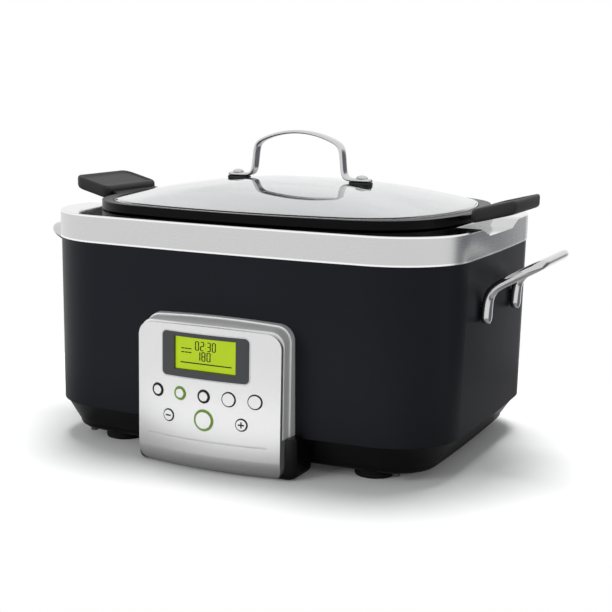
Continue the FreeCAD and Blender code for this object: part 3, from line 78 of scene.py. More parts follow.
def make_camera():
    camera = bpy.data.objects.new("camera", bpy.data.cameras.new("camera"))
    camera.data.lens = FOCAL_LENGTH
    camera.data.sensor_width = SENSOR_WIDTH
    level = Matrix.Rotation(math.radians(90) - CAMERA_PITCH, 4, "X")
    turn = Matrix.Rotation(CAMERA_YAW, 4, "Z") @ level @ Matrix.Rotation(CAMERA_ROLL, 4, "Z")
    camera.matrix_world = Matrix.Translation(CAMERA_PLACE) @ turn
    scene.collection.objects.link(camera)
    scene.camera = camera


make_camera()
print(f"camera {CAMERA_PLACE.length:.2f} m from the origin, with a lens of {FOCAL_LENGTH} mm")

# %% [markdown]
# Shader maths reads best as plain arithmetic. `Value` wraps one socket, so that `1 - mask * 0.3` adds the Math
# nodes it needs. `Nodes` fills a node tree by name, for materials, the world and geometry alike. `Finish` holds
# one material: constants go straight onto the shader's sockets, and only what changes over the surface is linked.

# %% Node arithmetic


class Value:
    """A socket that takes part in Python arithmetic."""

    def __init__(self, owner, socket):
        self.owner = owner
        self.socket = socket

    def maths(self, operation, first, second):
        return self.owner.node("ShaderNodeMath", {"operation": operation}, {0: first, 1: second})

    def __add__(self, other):
        return self.maths("ADD", self, other)

    def __rsub__(self, other):
        return self.maths("SUBTRACT", other, self)

    def __mul__(self, other):
        return self.maths("MULTIPLY", self, other)

    def __pow__(self, other):
        return self.maths("POWER", self, other)

    def __or__(self, other):
        return self.maths("MAXIMUM", self, other)

    __radd__ = __add__
    __rmul__ = __mul__


class Nodes:
    """A node tree that is filled in by name."""

    def __init__(self, tree):
        self.tree = tree

    def node(self, kind, settings=None, sockets=None, output=0):
        """Add a node, set it up, then fill or link its sockets. Gives one of its outputs."""
        made = self.tree.nodes.new(kind)
        for name, value in (settings or {}).items():
            setattr(made, name, value)
        for socket, value in (sockets or {}).items():
            self.fill(made.inputs[socket], value)
        return Value(self, made.outputs[output] if made.outputs else None)

    def fill(self, socket, value):
        if isinstance(value, Value):
            self.tree.links.new(value.socket, socket)
        else:
            socket.default_value = value

    def blend(self, share, first, second):
        """A colour between two colours."""
        return self.node("ShaderNodeMix", {"data_type": "RGBA"}, {"Factor": share, 6: first, 7: second}, 2)

    def part(self, vector, axis):
        """One part of a vector: X, Y or Z."""
        return self.node("ShaderNodeSeparateXYZ", None, {0: vector}, axis)

    def ramp(self, value, start, end, shape="SMOOTHSTEP"):
        """From nothing at a start to one at an end."""
        return self.node("ShaderNodeMapRange", {"interpolation_type": shape},
                         {"Value": value, "From Min": start, "From Max": end})


class Finish(Nodes):
    """One material, built around a single shader."""

    def __init__(self, name, constants):
        self.material = bpy.data.materials.new(name)
        self.material.use_nodes = True
        super().__init__(self.material.node_tree)
        self.shader = self.tree.nodes["Principled BSDF"]
        for socket, value in constants.items():
            self.shader.inputs[socket].default_value = value

    def feed(self, socket, value):
        self.fill(self.shader.inputs[socket], value)

    def coordinates(self, stretch=(1, 1, 1)):
        """Places on the piece in metres, stretched by a factor along each axis."""
        place = self.node("ShaderNodeTexCoord", output="Object")
        return self.node("ShaderNodeVectorMath", {"operation": "MULTIPLY"}, {0: place, 1: stretch})

    def noise(self, size, stretch=(1, 1, 1), detail=3.0):
        """Grey noise around one half, with features of about a size in metres."""
        return self.node("ShaderNodeTexNoise", None,
                         {"Vector": self.coordinates(stretch), "Scale": 1 / size, "Detail": detail})

    def relief(self, height, depth, edge=0.0):
        """Small relief, where a height of one stands out by a depth in metres, over edges eased by a radius."""
        sockets = {"Height": height, "Distance": depth, "Strength": 1.0}
        if edge:
            sockets["Normal"] = self.node("ShaderNodeBevel", {"samples": 4}, {"Radius": edge})
        self.feed("Normal", self.node("ShaderNodeBump", None, sockets))


def grey(level):
    """A colour without a hue."""
    return (level, level, level, 1.0)


# %% [markdown]
# Finishes. Each function in the next cells is one surface of the real cooker. The patterns use the piece's own
# coordinates in metres, so a grain of half a millimetre stays half a millimetre on every piece. The Bevel node eases
# the light over edges that were cut square.
#
# The rim is drawn from sheet steel: brushed on its upright sides and polished on its flat top. The bright line along
# both edges is a painted highlight. A thin wire could be laid along each edge, but a band of brighter colour at the
# right height follows the rim exactly and needs no mesh.

# %% Rim steel
STREAK, STREAK_SIZE, STREAK_DEPTH, STREAK_DARK = (1, 1, 90), 30 * MM, 0.002 * MM, 0.93
SIDE_ROUGH, STREAK_ROUGH, TOP_ROUGH = 0.24, 0.08, 0.02
TURN_FROM, TURN_TO = 0.4, 0.8
RIM_EASE = 0.3 * MM
RIM_FOOT = 160 * MM
RIM_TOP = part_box("top_rim")[1][2]
# Painted highlight: bands of brighter colour along the rim's foot and top edge.
HIGHLIGHT_FADE, HIGHLIGHT_FULL = 1.5 * MM, 1.05 * MM
HIGHLIGHT_LEVEL = 0.97
TOP_HIGHLIGHT_CUT = 0.7


def painted_highlight_band(finish, edge, inward):
    """A painted highlight band: one along an edge at a height, and nothing beyond a narrow band."""
    height = finish.part(finish.coordinates(), "Z")
    return finish.ramp(height, edge + inward * HIGHLIGHT_FADE, edge + inward * HIGHLIGHT_FULL, "LINEAR")


def rim_steel(level):
    """Drawn steel, brushed on its upright sides and polished where it turns up, with a painted highlight along its
    edges.
    """
    finish = Finish("rim_steel", {"Metallic": 1.0})
    streaks = finish.noise(STREAK_SIZE, STREAK, detail=4.0)
    up = finish.part(finish.node("ShaderNodeTexCoord", output="Normal"), "Z")
    polish = finish.ramp(up, TURN_FROM, TURN_TO, "LINEAR")
    # A painted highlight along the foot and the top edge, weaker where the rim turns up.
    edges = painted_highlight_band(finish, RIM_FOOT, 1) | painted_highlight_band(finish, RIM_TOP, -1) * (1 - polish * TOP_HIGHLIGHT_CUT)
    brushed = finish.blend(streaks, grey(level * STREAK_DARK), grey(level))
    finish.feed("Base Color", finish.blend(edges, brushed, grey(HIGHLIGHT_LEVEL)))
    finish.feed("Roughness", SIDE_ROUGH + streaks * STREAK_ROUGH + polish * (TOP_ROUGH - SIDE_ROUGH))
    finish.relief(streaks, STREAK_DEPTH, RIM_EASE)
    return finish.material


print(f"rim steel between {RIM_FOOT / MM:.1f} and {RIM_TOP / MM:.1f} mm")

# %% [markdown]
# The other metals. Handles, strap and screws are cast or bent steel, buffed to a near mirror with faint wipe marks.
# Pieces inside the housing are left as they come from casting or plating. A single roughness would look like a
# drawing of metal, so slow noise varies it a little.

# %% Other metals
EASED_EDGE = 0.6 * MM
WIPE, WIPE_SIZE, WIPE_DARK = (1, 1, 3), 25 * MM, 0.96
BUFF_SIZE, BUFF_DEPTH = 0.8 * MM, 0.0015 * MM
STAIN_SIZE, STAIN_DARK = 18 * MM, 0.85
CAST_GRAIN, CAST_DEPTH = 0.6 * MM, 0.02 * MM


def polished_steel(name, level, rough):
    """Cast or bent steel, buffed to a near mirror with faint wipe marks."""
    finish = Finish(name, {"Metallic": 1.0})
    wipes = finish.noise(WIPE_SIZE, WIPE)
    finish.feed("Base Color", finish.blend(wipes, grey(level * WIPE_DARK), grey(level)))
    finish.feed("Roughness", rough * (0.6 + wipes * 0.8))
    finish.relief(finish.noise(BUFF_SIZE), BUFF_DEPTH, EASED_EDGE)
    return finish.material


def plain_metal(name, level, rough, grain=CAST_GRAIN):
    """Cast or plated metal that is left as it comes."""
    finish = Finish(name, {"Metallic": 1.0})
    grains = finish.noise(grain)
    stains = finish.noise(STAIN_SIZE)
    finish.feed("Base Color", finish.blend(stains, grey(level * STAIN_DARK), grey(level)))
    finish.feed("Roughness", rough * (0.8 + grains * 0.4))
    finish.relief(grains, CAST_DEPTH)
    return finish.material


# %% [markdown]
# Paint, plastics, rubber and wool. The wrap's black coat has a slight orange peel, moulded plastics and rubber have a
# fine spark-eroded grain, and the blanket round the heating well is needled mineral wool. Image textures could carry
# such grain, but noise has no seams and no fixed resolution.

# %% Paint, plastics and wool
PEEL_SIZE, PEEL_DEPTH = 1.2 * MM, 0.004 * MM
COAT_CLOUD, COAT_DARK, COAT_PALE = 90 * MM, (0.0075, 0.008, 0.0112, 1), (0.0095, 0.010, 0.0138, 1)
MOULD_GRAIN, MOULD_DEPTH = 0.5 * MM, 0.012 * MM
MOULD_CLOUD, MOULD_DARK = 40 * MM, 0.9
FIBRE, FIBRE_SIZE, FIBRE_DEPTH = (1, 1, 4), 1.5 * MM, 0.4 * MM
WOOL_DARK, WOOL_PALE = (0.5, 0.48, 0.42, 1), (0.78, 0.76, 0.7, 1)


def satin_paint():
    """The wrap's black coat, with a slight orange peel."""
    finish = Finish("satin_black_paint", {"Specular IOR Level": 0.1})
    peel = finish.noise(PEEL_SIZE, detail=2.0)
    cloud = finish.noise(COAT_CLOUD)
    finish.feed("Base Color", finish.blend(cloud, COAT_DARK, COAT_PALE))
    finish.feed("Roughness", 0.34 + peel * 0.06 + cloud * 0.05)
    finish.relief(peel, PEEL_DEPTH, EASED_EDGE)
    return finish.material


def moulded_plastic(name, colour, rough, specular=0.4, depth=MOULD_DEPTH):
    """Moulded plastic or rubber with a fine spark-eroded grain."""
    finish = Finish(name, {"Specular IOR Level": specular})
    grains = finish.noise(MOULD_GRAIN)
    darker = tuple(share * MOULD_DARK for share in colour[:3]) + (1.0,)
    finish.feed("Base Color", finish.blend(finish.noise(MOULD_CLOUD), darker, colour))
    finish.feed("Roughness", rough * (0.88 + grains * 0.24))
    finish.relief(grains, depth, EASED_EDGE)
    return finish.material


def wool_blanket():
    """Needled mineral wool."""
    finish = Finish("wool_blanket", {"Specular IOR Level": 0.1})
    fibres = finish.noise(FIBRE_SIZE, FIBRE, detail=6.0)
    finish.feed("Base Color", finish.blend(fibres, WOOL_DARK, WOOL_PALE))
    finish.feed("Roughness", 0.85 + fibres * 0.1)
    finish.relief(fibres, FIBRE_DEPTH)
    return finish.material


# %% [markdown]
# Lacquer and ceramic. The panel's silver lacquer has flakes under a satin coat. They are Voronoi cells, because each
# cell has one random colour of its own, as a flake catches the light in its own way. The pot wears a dark ceramic
# coat: noise raised to a high power leaves only its peaks, which make a sparse speckle.

# %% Lacquer and ceramic
FLAKE_SIZE, FLAKE_DEPTH, FLAKE_DARK = 0.35 * MM, 0.001 * MM, 0.95
LACQUER_CLOUD = 50 * MM
SPECKLE_SIZE, SPECKLE_POWER = 0.7 * MM, 8
CERAMIC_DARK, CERAMIC_PALE = grey(0.0015), grey(0.015)
WAVE_SIZE, WAVE_DEPTH = 70 * MM, 0.02 * MM


def silver_paint(name, level, rough, metal):
    """Metallic lacquer: fine flakes under a satin coat."""
    finish = Finish(name, {"Metallic": metal, "Specular IOR Level": 0.5})
    flakes = finish.node("ShaderNodeTexVoronoi", None,
                         {"Vector": finish.coordinates(), "Scale": 1 / FLAKE_SIZE}, "Color")
    flake = finish.node("ShaderNodeSeparateColor", None, {0: flakes}, "Red")
    finish.feed("Base Color", finish.blend(flake, grey(level * FLAKE_DARK), grey(level)))
    finish.feed("Roughness", rough * (0.9 + finish.noise(LACQUER_CLOUD) * 0.2))
    finish.relief(flake, FLAKE_DEPTH, EASED_EDGE)
    return finish.material


def pot_ceramic():
    """Glossy dark ceramic coat with a faint speckle."""
    finish = Finish("pot_ceramic", {"Specular IOR Level": 0.08})
    speckle = finish.noise(SPECKLE_SIZE, detail=1.0) ** SPECKLE_POWER
    waves = finish.noise(WAVE_SIZE)
    finish.feed("Base Color", finish.blend(speckle, CERAMIC_DARK, CERAMIC_PALE))
    finish.feed("Roughness", 0.26 + waves * 0.08)
    finish.relief(waves, WAVE_DEPTH, EASED_EDGE)
    return finish.material


# %% [markdown]
# Glass and lights. The lid is clear tempered glass, hazed a little by use. Glass in a plain studio shows the dark pot
# from every side, while a real lid that is seen aslant mirrors the bright room, so the Layer Weight node turns it
# into a mirror as it tilts away. The display and two of the rings are lit from behind, so they glow by themselves,
# too weakly to light anything else.

# %% Glass and lights
GLASS_CLEAR, GLASS_MIRROR = 0.2, 0.74
MIRROR_SHARE = 0.7
HAZE_DARK, HAZE_PALE = (0.64, 0.66, 0.67, 1), (0.88, 0.89, 0.9, 1)
HAZE, HAZE_SIZE, HAZE_ROUGH = (0.4, 1.5, 1.5), 45 * MM, 0.03
LIME_DARK, LIME_DEEP, LIME_PALE = (0.05, 0.07, 0.005, 1), (0.42, 0.62, 0.002, 1), (0.56, 0.76, 0.004, 1)
LIME_GLOW, LIME_GRAIN = 25 * MM, 0.4 * MM
RING_DARK, RING_PALE = (0.03, 0.09, 0.005, 1), (0.05, 0.14, 0.008, 1)
RING_DIM, RING_BRIGHT, RING_GLOW = (0.16, 0.3, 0.006, 1), (0.26, 0.44, 0.012, 1), 6 * MM


def lid_glass():
    """Tempered clear glass that mirrors the room when it is seen aslant, with the least haze of a used lid."""
    finish = Finish("lid_glass", {"Transmission Weight": 1.0, "IOR": 1.52})
    slant = finish.node("ShaderNodeLayerWeight", None, {"Blend": 0.5}, "Facing")
    finish.feed("Metallic", finish.ramp(slant, GLASS_CLEAR, GLASS_MIRROR) * MIRROR_SHARE)
    haze = finish.noise(HAZE_SIZE, HAZE)
    finish.feed("Base Color", finish.blend(haze, HAZE_DARK, HAZE_PALE))
    finish.feed("Roughness", haze * HAZE_ROUGH)
    return finish.material


def lit_display():
    """A back-lit lime display, a little uneven in its light."""
    finish = Finish("lit_display", {"Emission Strength": 0.75, "Specular IOR Level": 0.3})
    finish.feed("Base Color", LIME_DARK)
    finish.feed("Emission Color", finish.blend(finish.noise(LIME_GLOW), LIME_DEEP, LIME_PALE))
    finish.feed("Roughness", 0.25 + finish.noise(LIME_GRAIN) * 0.1)
    return finish.material


def lit_ring():
    """A translucent ring, lit green from behind."""
    finish = Finish("lit_ring", {"Emission Strength": 0.4})
    glow = finish.noise(RING_GLOW)
    finish.feed("Base Color", finish.blend(glow, RING_DARK, RING_PALE))
    finish.feed("Emission Color", finish.blend(glow, RING_DIM, RING_BRIGHT))
    finish.feed("Roughness", 0.3 + glow * 0.1)
    return finish.material


# %% [markdown]
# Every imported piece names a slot, and each slot gets one finish here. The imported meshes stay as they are: only the
# material in their slots changes, which is all that a piece of the right shape needs.

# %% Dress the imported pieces
FINISHES = {
    "wrap_paint": satin_paint(),
    "rim_steel": rim_steel(level=0.645),
    "polished_steel": polished_steel("polished_steel", level=0.62, rough=0.08),
    "well_metal": plain_metal("well_aluminium", level=0.6, rough=0.45),
    "pot_metal": pot_ceramic(),
    "black_plastic": moulded_plastic("black_plastic", (0.002, 0.002, 0.0024, 1), rough=0.24, specular=0.3,
                                     depth=0.003 * MM),
    "silver_plastic": silver_paint("silver_lacquer", level=0.75, rough=0.24, metal=0.85),
    "surround_metal": silver_paint("surround_lacquer", level=0.82, rough=0.45, metal=0.5),
    "grey_plastic": moulded_plastic("grey_plastic", (0.041, 0.042, 0.045, 1), rough=0.45),
    "soft_grip": moulded_plastic("soft_grip", (0.012, 0.012, 0.0125, 1), rough=0.55, depth=0.02 * MM),
    "foot_rubber": moulded_plastic("foot_rubber", (0.006, 0.006, 0.006, 1), rough=0.7, specular=0.2),
    "clear_glass": lid_glass(),
    "display": lit_display(),
    "lit_ring": lit_ring(),
    "circuit_board": moulded_plastic("circuit_board", (0.02, 0.12, 0.05, 1), rough=0.35),
    "blanket": wool_blanket(),
    "zinc_steel": plain_metal("zinc_steel", level=0.15, rough=0.4, grain=0.3 * MM),
}


def dress_nodes():
    """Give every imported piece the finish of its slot."""
    for row in frame["record"]["subparts"]:
        thing = nodes[row["node"]]
        for slot in thing.material_slots:
            slot.material = FINISHES[row["material_slot"]]


dress_nodes()
print(f"{len(FINISHES)} finishes on {len(nodes)} pieces")

# %% [markdown]
# Meshes come from rings of points: a bar is a chain of rings, a grip is a stack of outlines, a foot is a stack of
# circles. Extruding by hand or with modifiers would do for one of them, but one helper serves them all. `skin` joins
# each ring to the next and closes the ends. `piece` then puts the mesh in the scene and says which body it rides on,
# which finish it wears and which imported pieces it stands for.

# %% Rings and skins
SHARP = math.radians(50)
ACROSS = Vector((0, 1, 0))
UP = Vector((0, 0, 1))
ENDS = (("left", -1), ("right", 1))


def corners_of(node):
    """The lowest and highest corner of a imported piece."""
    return tuple(Vector(corner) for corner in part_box(node))


def skin(name, rings):
    """A closed mesh over a chain of rings."""
    count = len(rings[0])
    faces = [range(count), range((len(rings) - 1) * count, len(rings) * count)]
    for row in range(len(rings) - 1):
        here = row * count
        for side in range(count):
            after = (side + 1) % count
            faces.append((here + side, here + after, here + count + after, here + count + side))
    mesh = bpy.data.meshes.new(name)
    mesh.from_pydata([place for ring in rings for place in ring], [], faces)
    return mesh


def joined(name, meshes):
    """One mesh from several, with every face turned outwards and all but sharp edges smooth."""
    work = bmesh.new()
    for mesh in meshes:
        work.from_mesh(mesh)
    bmesh.ops.recalc_face_normals(work, faces=work.faces)
    mesh = bpy.data.meshes.new(name)
    work.to_mesh(mesh)
    work.free()
    mesh.shade_smooth()
    mesh.set_sharp_from_angle(angle=SHARP)
    return mesh


def piece(name, mesh, body, slot, *stands_for):
    """Put a mesh in the scene as a piece of the cooker."""
    mesh.materials.clear()
    mesh.materials.append(FINISHES[slot])
    thing = bpy.data.objects.new(name, mesh)
    scene.collection.objects.link(thing)
    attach(thing, body)
    if stands_for:
        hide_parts(*stands_for)
    print(f"{name}: {len(mesh.polygons)} faces on {body}")
    return thing


# %% [markdown]
# Paths. A bent bar follows a chain of points. A curve with a bevel could be bent as well, but a chain lets the
# section change on its way, so that ends close in a half round and feet grow wider.

# %% Chains of points
TIP_START = 0.15


def even(points, step):
    """Points at even steps along straight runs."""
    spots = [points[0]]
    for start, end in zip(points, points[1:]):
        runs = max(1, round((end - start).length / step))
        spots += [start.lerp(end, run / runs) for run in range(1, runs + 1)]
    return spots


def relaxed(points, rounds):
    """Round a chain's corners by pulling each point towards its neighbours. The ends stay."""
    for turn in range(rounds):
        pulled = [(before + here * 2 + after) / 4 for before, here, after in zip(points, points[1:], points[2:])]
        points = points[:1] + pulled + points[-1:]
    return points


def headings(points):
    """The direction of travel at each point of a chain."""
    pairs = zip(points[:1] + points[:-1], points[1:] + points[-1:])
    return [(after - before).normalized() for before, after in pairs]


def bar_ring(place, across, normal, width, thickness, squareness=3.0, sides=28):
    """The section of a bar: a circle drawn towards a rectangle by its squareness."""
    ring = []
    for side in range(sides):
        turn = 2 * math.pi * (side + 0.5) / sides
        wide = math.copysign(abs(math.cos(turn)) ** (2 / squareness), math.cos(turn)) * width / 2
        high = math.copysign(abs(math.sin(turn)) ** (2 / squareness), math.sin(turn)) * thickness / 2
        ring.append(place + across * wide + normal * high)
    return ring


def fullness(index, count, tip):
    """How full a bar is near its ends, which close in a half round over a number of steps."""
    share = min(1.0, (min(index, count - 1 - index) + TIP_START) / tip)
    return math.sqrt(1 - (1 - share) ** 2)


def circle(radius, z, sides=48):
    turns = [2 * math.pi * side / sides for side in range(sides)]
    return [Vector((radius * math.cos(turn), radius * math.sin(turn), z)) for turn in turns]


# %% [markdown]
# The lid's strap is a flat steel bar bent over the middle of the dome, on two soft pads. Its path is a short list of
# corners with an arch between the shoulders. A relaxing pass then turns the corners into bends, as the bar would
# bend round a former, so that no arc has to be worked out.

# %% Lid handle
STEP = 1 * MM
STRAP_THICKNESS = 3 * MM
STRAP_FOOT = 23.5 * MM
STRAP_LEAN = 2.5 * MM
STRAP_ARCH = 10 * MM
STRAP_RELAX = 36
STRAP_TIP = 6
STRAP_END = 0.6
ARCH_SHARES = (0.75, 0.5, 0.25)
PAD_LENGTH = 19 * MM
PAD_TIP = 3
PAD_SQUARENESS = 5.0


def strap_path():
    low, high = corners_of("lid_handle")
    foot = low.z + STRAP_THICKNESS / 2
    shoulder = high.z - STRAP_THICKNESS / 2 - STRAP_ARCH
    post = high.x - STRAP_FOOT
    lean = post - STRAP_LEAN
    half = [(high.x, foot), (post, foot), (lean, shoulder)]
    half += [(lean * share, shoulder + STRAP_ARCH * (1 - share * share)) for share in ARCH_SHARES]
    whole = half + [(0, shoulder + STRAP_ARCH)] + [(-x, z) for x, z in reversed(half)]
    return relaxed(even([Vector((x, 0, z)) for x, z in whole], STEP), STRAP_RELAX)


def make_strap():
    path = strap_path()
    width = corners_of("lid_handle")[1].y * 2
    rings = []
    for index, (place, heading) in enumerate(zip(path, headings(path))):
        full = fullness(index, len(path), STRAP_TIP)
        rings.append(bar_ring(place, ACROSS, ACROSS.cross(heading), width * full,
                              STRAP_THICKNESS * (STRAP_END + full * (1 - STRAP_END))))
    piece("strap", joined("strap", [skin("strap", rings)]), "lid", "polished_steel", "lid_handle")


def make_pads():
    low, high = corners_of("lid_washers")
    middle = (low.z + high.z) / 2
    meshes = []
    for end, sign in ENDS:
        ends = [Vector((sign * (high.x - PAD_LENGTH), 0, middle)), Vector((sign * high.x, 0, middle))]
        path = even(ends, STEP)
        rings = [bar_ring(place, ACROSS, UP, high.y * 2 * fullness(index, len(path), PAD_TIP),
                          high.z - low.z, PAD_SQUARENESS) for index, place in enumerate(path)]
        meshes.append(skin(f"pad_{end}", rings))
    piece("pads", joined("pads", meshes), "lid", "soft_grip", "lid_washers")


make_strap()
make_pads()

# %% [markdown]
# The glass is a shell between two domes. A Solidify modifier could thicken one dome, but two domes let the edge be
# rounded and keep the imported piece's thickness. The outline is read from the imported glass, so both have the same
# plan, and each dome falls from the middle by the square of the way out.

# %% Glass
GLASS_THICKNESS = 4 * MM
GLASS_INNER = 0.965
EDGE_ROUND = 0.8 * MM
EDGE_SHARE = 0.997
UNDER_SHARE = 0.9995
DOME_STEPS = 24
LEVEL_SLACK = 0.02 * MM
OUTLINE_STEP = 3 * MM


def smooth_loop(loop, step):
    """A smooth closed curve through points that may be unevenly spaced."""
    count = len(loop)
    runs = [loop[(index + 1) % count] - loop[index] for index in range(count)]
    tangents = [(runs[index - 1].normalized() * runs[index].length
                 + runs[index].normalized() * runs[index - 1].length).normalized() for index in range(count)]
    points = []
    for index, run in enumerate(runs):
        after = (index + 1) % count
        reach = run.length / 3
        points += interpolate_bezier(loop[index], loop[index] + tangents[index] * reach,
                                     loop[after] - tangents[after] * reach, loop[after],
                                     max(2, round(run.length / step) + 1))[:-1]
    return points


def outline_at(node, height):
    """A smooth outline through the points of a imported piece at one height, in order around the middle."""
    places = [nodes[node].matrix_world @ vertex.co for vertex in nodes[node].data.vertices]
    level = {(round(place.x, 5), round(place.y, 5)) for place in places if abs(place.z - height) < LEVEL_SLACK}
    around = sorted(level, key=lambda spot: math.atan2(spot[1], spot[0]))
    print(f"{node}: {len(around)} points at {height / MM:.1f} mm")
    return smooth_loop([Vector((x, y, 0)) for x, y in around], OUTLINE_STEP)


def make_glass():
    low, high = corners_of("lid_glass")
    edge = low.z + GLASS_THICKNESS
    rise = high.z - edge
    outline = outline_at("lid_glass", edge)

    def level(share, z):
        return [place * share + UP * z for place in outline]

    shares = [math.sin(math.pi / 2 * step / DOME_STEPS) for step in range(1, DOME_STEPS)] + [UNDER_SHARE]
    under = [level(share * GLASS_INNER, low.z + rise * (1 - share * share)) for share in shares]
    over = [level(share, edge + rise * (1 - share * share)) for share in reversed(shares[:-1])]
    rim = [level(EDGE_SHARE, low.z), level(1, low.z + EDGE_ROUND),
           level(1, edge - EDGE_ROUND), level(EDGE_SHARE, edge)]
    piece("dome", joined("dome", [skin("dome", under + rim + over)]), "lid", "clear_glass", "lid_glass")


make_glass()

# %% [markdown]
# A soft grip is moulded over each of the pot's tabs. A bevelled box would come near, but not to its raised bead, so
# a grip is a stack of outlines: the plan is a rounded rectangle, rounder at the tip, and each level insets it a
# little. The last levels step down inside the bead. Every point then climbs with the tab.

# %% Grips
GRIP_CLIMB = 8.6 * MM
GRIP_ROOT_CORNER = 6 * MM
GRIP_TIP_CORNER = 9 * MM
SMALLEST_CORNER = 0.6 * MM
CORNER_STEPS = 10
GRIP_LEVELS = ((9, 0), (2.4, 0), (0.7, 0.7), (0, 2.4), (0, 7.8), (0.35, 9.2), (1.3, 10.1), (2.6, 10.4),
               (3.8, 10.1), (4.7, 9.4), (6, 9.1), (9, 9.1))


def plan(length, half, inset):
    """A rounded rectangle from the root outwards, inset all round."""
    spots = [(inset, -1, GRIP_ROOT_CORNER, 180), (length - inset, -1, GRIP_TIP_CORNER, 270),
             (length - inset, 1, GRIP_TIP_CORNER, 0), (inset, 1, GRIP_ROOT_CORNER, 90)]
    points = []
    for x, side, corner, start in spots:
        radius = max(corner - inset, SMALLEST_CORNER)
        middle = Vector((x + radius if start in (180, 90) else x - radius, side * (half - inset - radius)))
        for step in range(CORNER_STEPS + 1):
            turn = math.radians(start + 90 * step / CORNER_STEPS)
            points.append(middle + Vector((math.cos(turn), math.sin(turn))) * radius)
    return points


def make_grip(end, sign):
    low, high = corners_of("grip_right")
    length = high.x - low.x
    rings = []
    for inset, height in GRIP_LEVELS:
        ring = []
        for spot in plan(length, high.y, inset * MM):
            climb = GRIP_CLIMB * spot.x / length
            ring.append(Vector((sign * (low.x + spot.x), spot.y, low.z + climb + height * MM)))
        rings.append(ring)
    name = f"soft_grip_{end}"
    piece(name, joined(name, [skin(name, rings)]), "pot", "soft_grip", f"grip_{end}")


for end, sign in ENDS:
    make_grip(end, sign)

# %% [markdown]
# A side handle is a flat loop cast in one piece and bent where it leaves the wall. One path in space would have to
# turn both ways at once, so it is drawn twice: once as the loop in its flat sheet, where x runs from the foot
# outwards and y along the wall, and once as the bent profile that the sheet follows.

# %% Side handles
CAST_THICKNESS = 7.4 * MM
CAST_BEND = 25 * MM
CAST_FOOT_WIDTH = 15 * MM
CAST_ARM_WIDTH = 12 * MM
CAST_BAR_WIDTH = 14 * MM
FOOT_RUN = 20 * MM
SHEET_RELAX = 120
LOOP_RELAX = 60
WALL_GAP = 0.3 * MM
FOOT_LEAN = 0.4 * MM
TIP_GAP = 0.5 * MM
TIP_DROP = 0.4
BAR_FROM = 0.6
CAST_TIP = 6
CAST_END = 0.7
CAST_SQUARENESS = 2.5


def cast_width(way, reach):
    """Broad at the foot and along the bar, slimmer on the arms."""
    foot = max(0.0, 1 - way / FOOT_RUN)
    bar = max(0.0, (way / reach - BAR_FROM) / (1 - BAR_FROM))
    return CAST_ARM_WIDTH + (CAST_FOOT_WIDTH - CAST_ARM_WIDTH) * foot + (CAST_BAR_WIDTH - CAST_ARM_WIDTH) * bar


def make_side_handle(end, sign):
    low, high = corners_of("side_handle_right")
    wall = low.x + CAST_THICKNESS / 2 + WALL_GAP
    tip = Vector((high.x - TIP_GAP, 0, high.z - CAST_THICKNESS * TIP_DROP))
    bends = [Vector((wall, 0, low.z)), Vector((wall + FOOT_LEAN, 0, low.z + CAST_BEND)), tip]
    sheet = relaxed(even(bends, STEP), SHEET_RELAX)
    slopes = headings(sheet)
    reach = (len(sheet) - 1) * STEP - CAST_BAR_WIDTH / 2
    foot = high.y - CAST_FOOT_WIDTH / 2
    flat = [Vector(spot) for spot in ((0, -foot), (reach, -foot), (reach, foot), (0, foot))]
    loop = relaxed(even(flat, STEP), LOOP_RELAX)
    rings = []
    for index, (spot, heading) in enumerate(zip(loop, headings(loop))):
        at = min(int(spot.x / STEP), len(sheet) - 2)
        place = sheet[at].lerp(sheet[at + 1], spot.x / STEP - at) + ACROSS * spot.y
        across = ACROSS * heading.x - slopes[at] * heading.y
        full = fullness(index, len(loop), CAST_TIP)
        rings.append(bar_ring(place, across, slopes[at].cross(ACROSS), cast_width(spot.x, reach) * full,
                              CAST_THICKNESS * (CAST_END + full * (1 - CAST_END)), CAST_SQUARENESS))
    mirrored = [[Vector((sign * place.x, place.y, place.z)) for place in ring] for ring in rings]
    name = f"cast_handle_{end}"
    piece(name, joined(name, [skin(name, mirrored)]), "housing", "polished_steel", f"side_handle_{end}")


for end, sign in ENDS:
    make_side_handle(end, sign)

# %% [markdown]
# What repeats is grown by Geometry Nodes. A loop in Python could copy each mesh, but a node group has its sizes as
# inputs, to be tried by hand. `repeat_on_grid` puts the incoming mesh at each point of a grid, which serves feet and
# screws. `bars_on_points` puts a small bar at each point, turned and sized by the point's own values, for the
# display. `wire_on_edges` runs a round wire along the incoming edges. `grown` sets the inputs by identifier,
# evaluates once and keeps a plain mesh.

# %% Node groups
WIRE_SIDES = 10


def new_group(name, inputs):
    """An empty node group with named inputs. Gives the group and its inputs by name."""
    tree = bpy.data.node_groups.new(name, "GeometryNodeTree")
    tree.interface.new_socket("Geometry", in_out="INPUT", socket_type="NodeSocketGeometry")
    for label, kind in inputs.items():
        tree.interface.new_socket(label, in_out="INPUT", socket_type=f"NodeSocket{kind}")
    tree.interface.new_socket("Geometry", in_out="OUTPUT", socket_type="NodeSocketGeometry")
    group = Nodes(tree)
    given = tree.nodes.new("NodeGroupInput")
    return group, {socket.name: Value(group, socket) for socket in given.outputs if socket.name}


def close_group(group, geometry, finish):
    """Realise the copies, give them their finish and hand them out."""
    real = group.node("GeometryNodeRealizeInstances", None, {0: geometry})
    worn = group.node("GeometryNodeSetMaterial", None, {"Geometry": real, "Material": finish})
    group.node("NodeGroupOutput", None, {0: worn})
    return group.tree


def repeat_on_grid():
    kinds = {"Columns": "Int", "Rows": "Int", "Length": "Float", "Width": "Float", "Finish": "Material"}
    group, given = new_group("repeat_on_grid", kinds)
    grid = group.node("GeometryNodeMeshGrid", None, {"Size X": given["Length"], "Size Y": given["Width"],
                                                     "Vertices X": given["Columns"], "Vertices Y": given["Rows"]})
    copies = group.node("GeometryNodeInstanceOnPoints", None, {"Points": grid, "Instance": given["Geometry"]})
    return close_group(group, copies, given["Finish"])


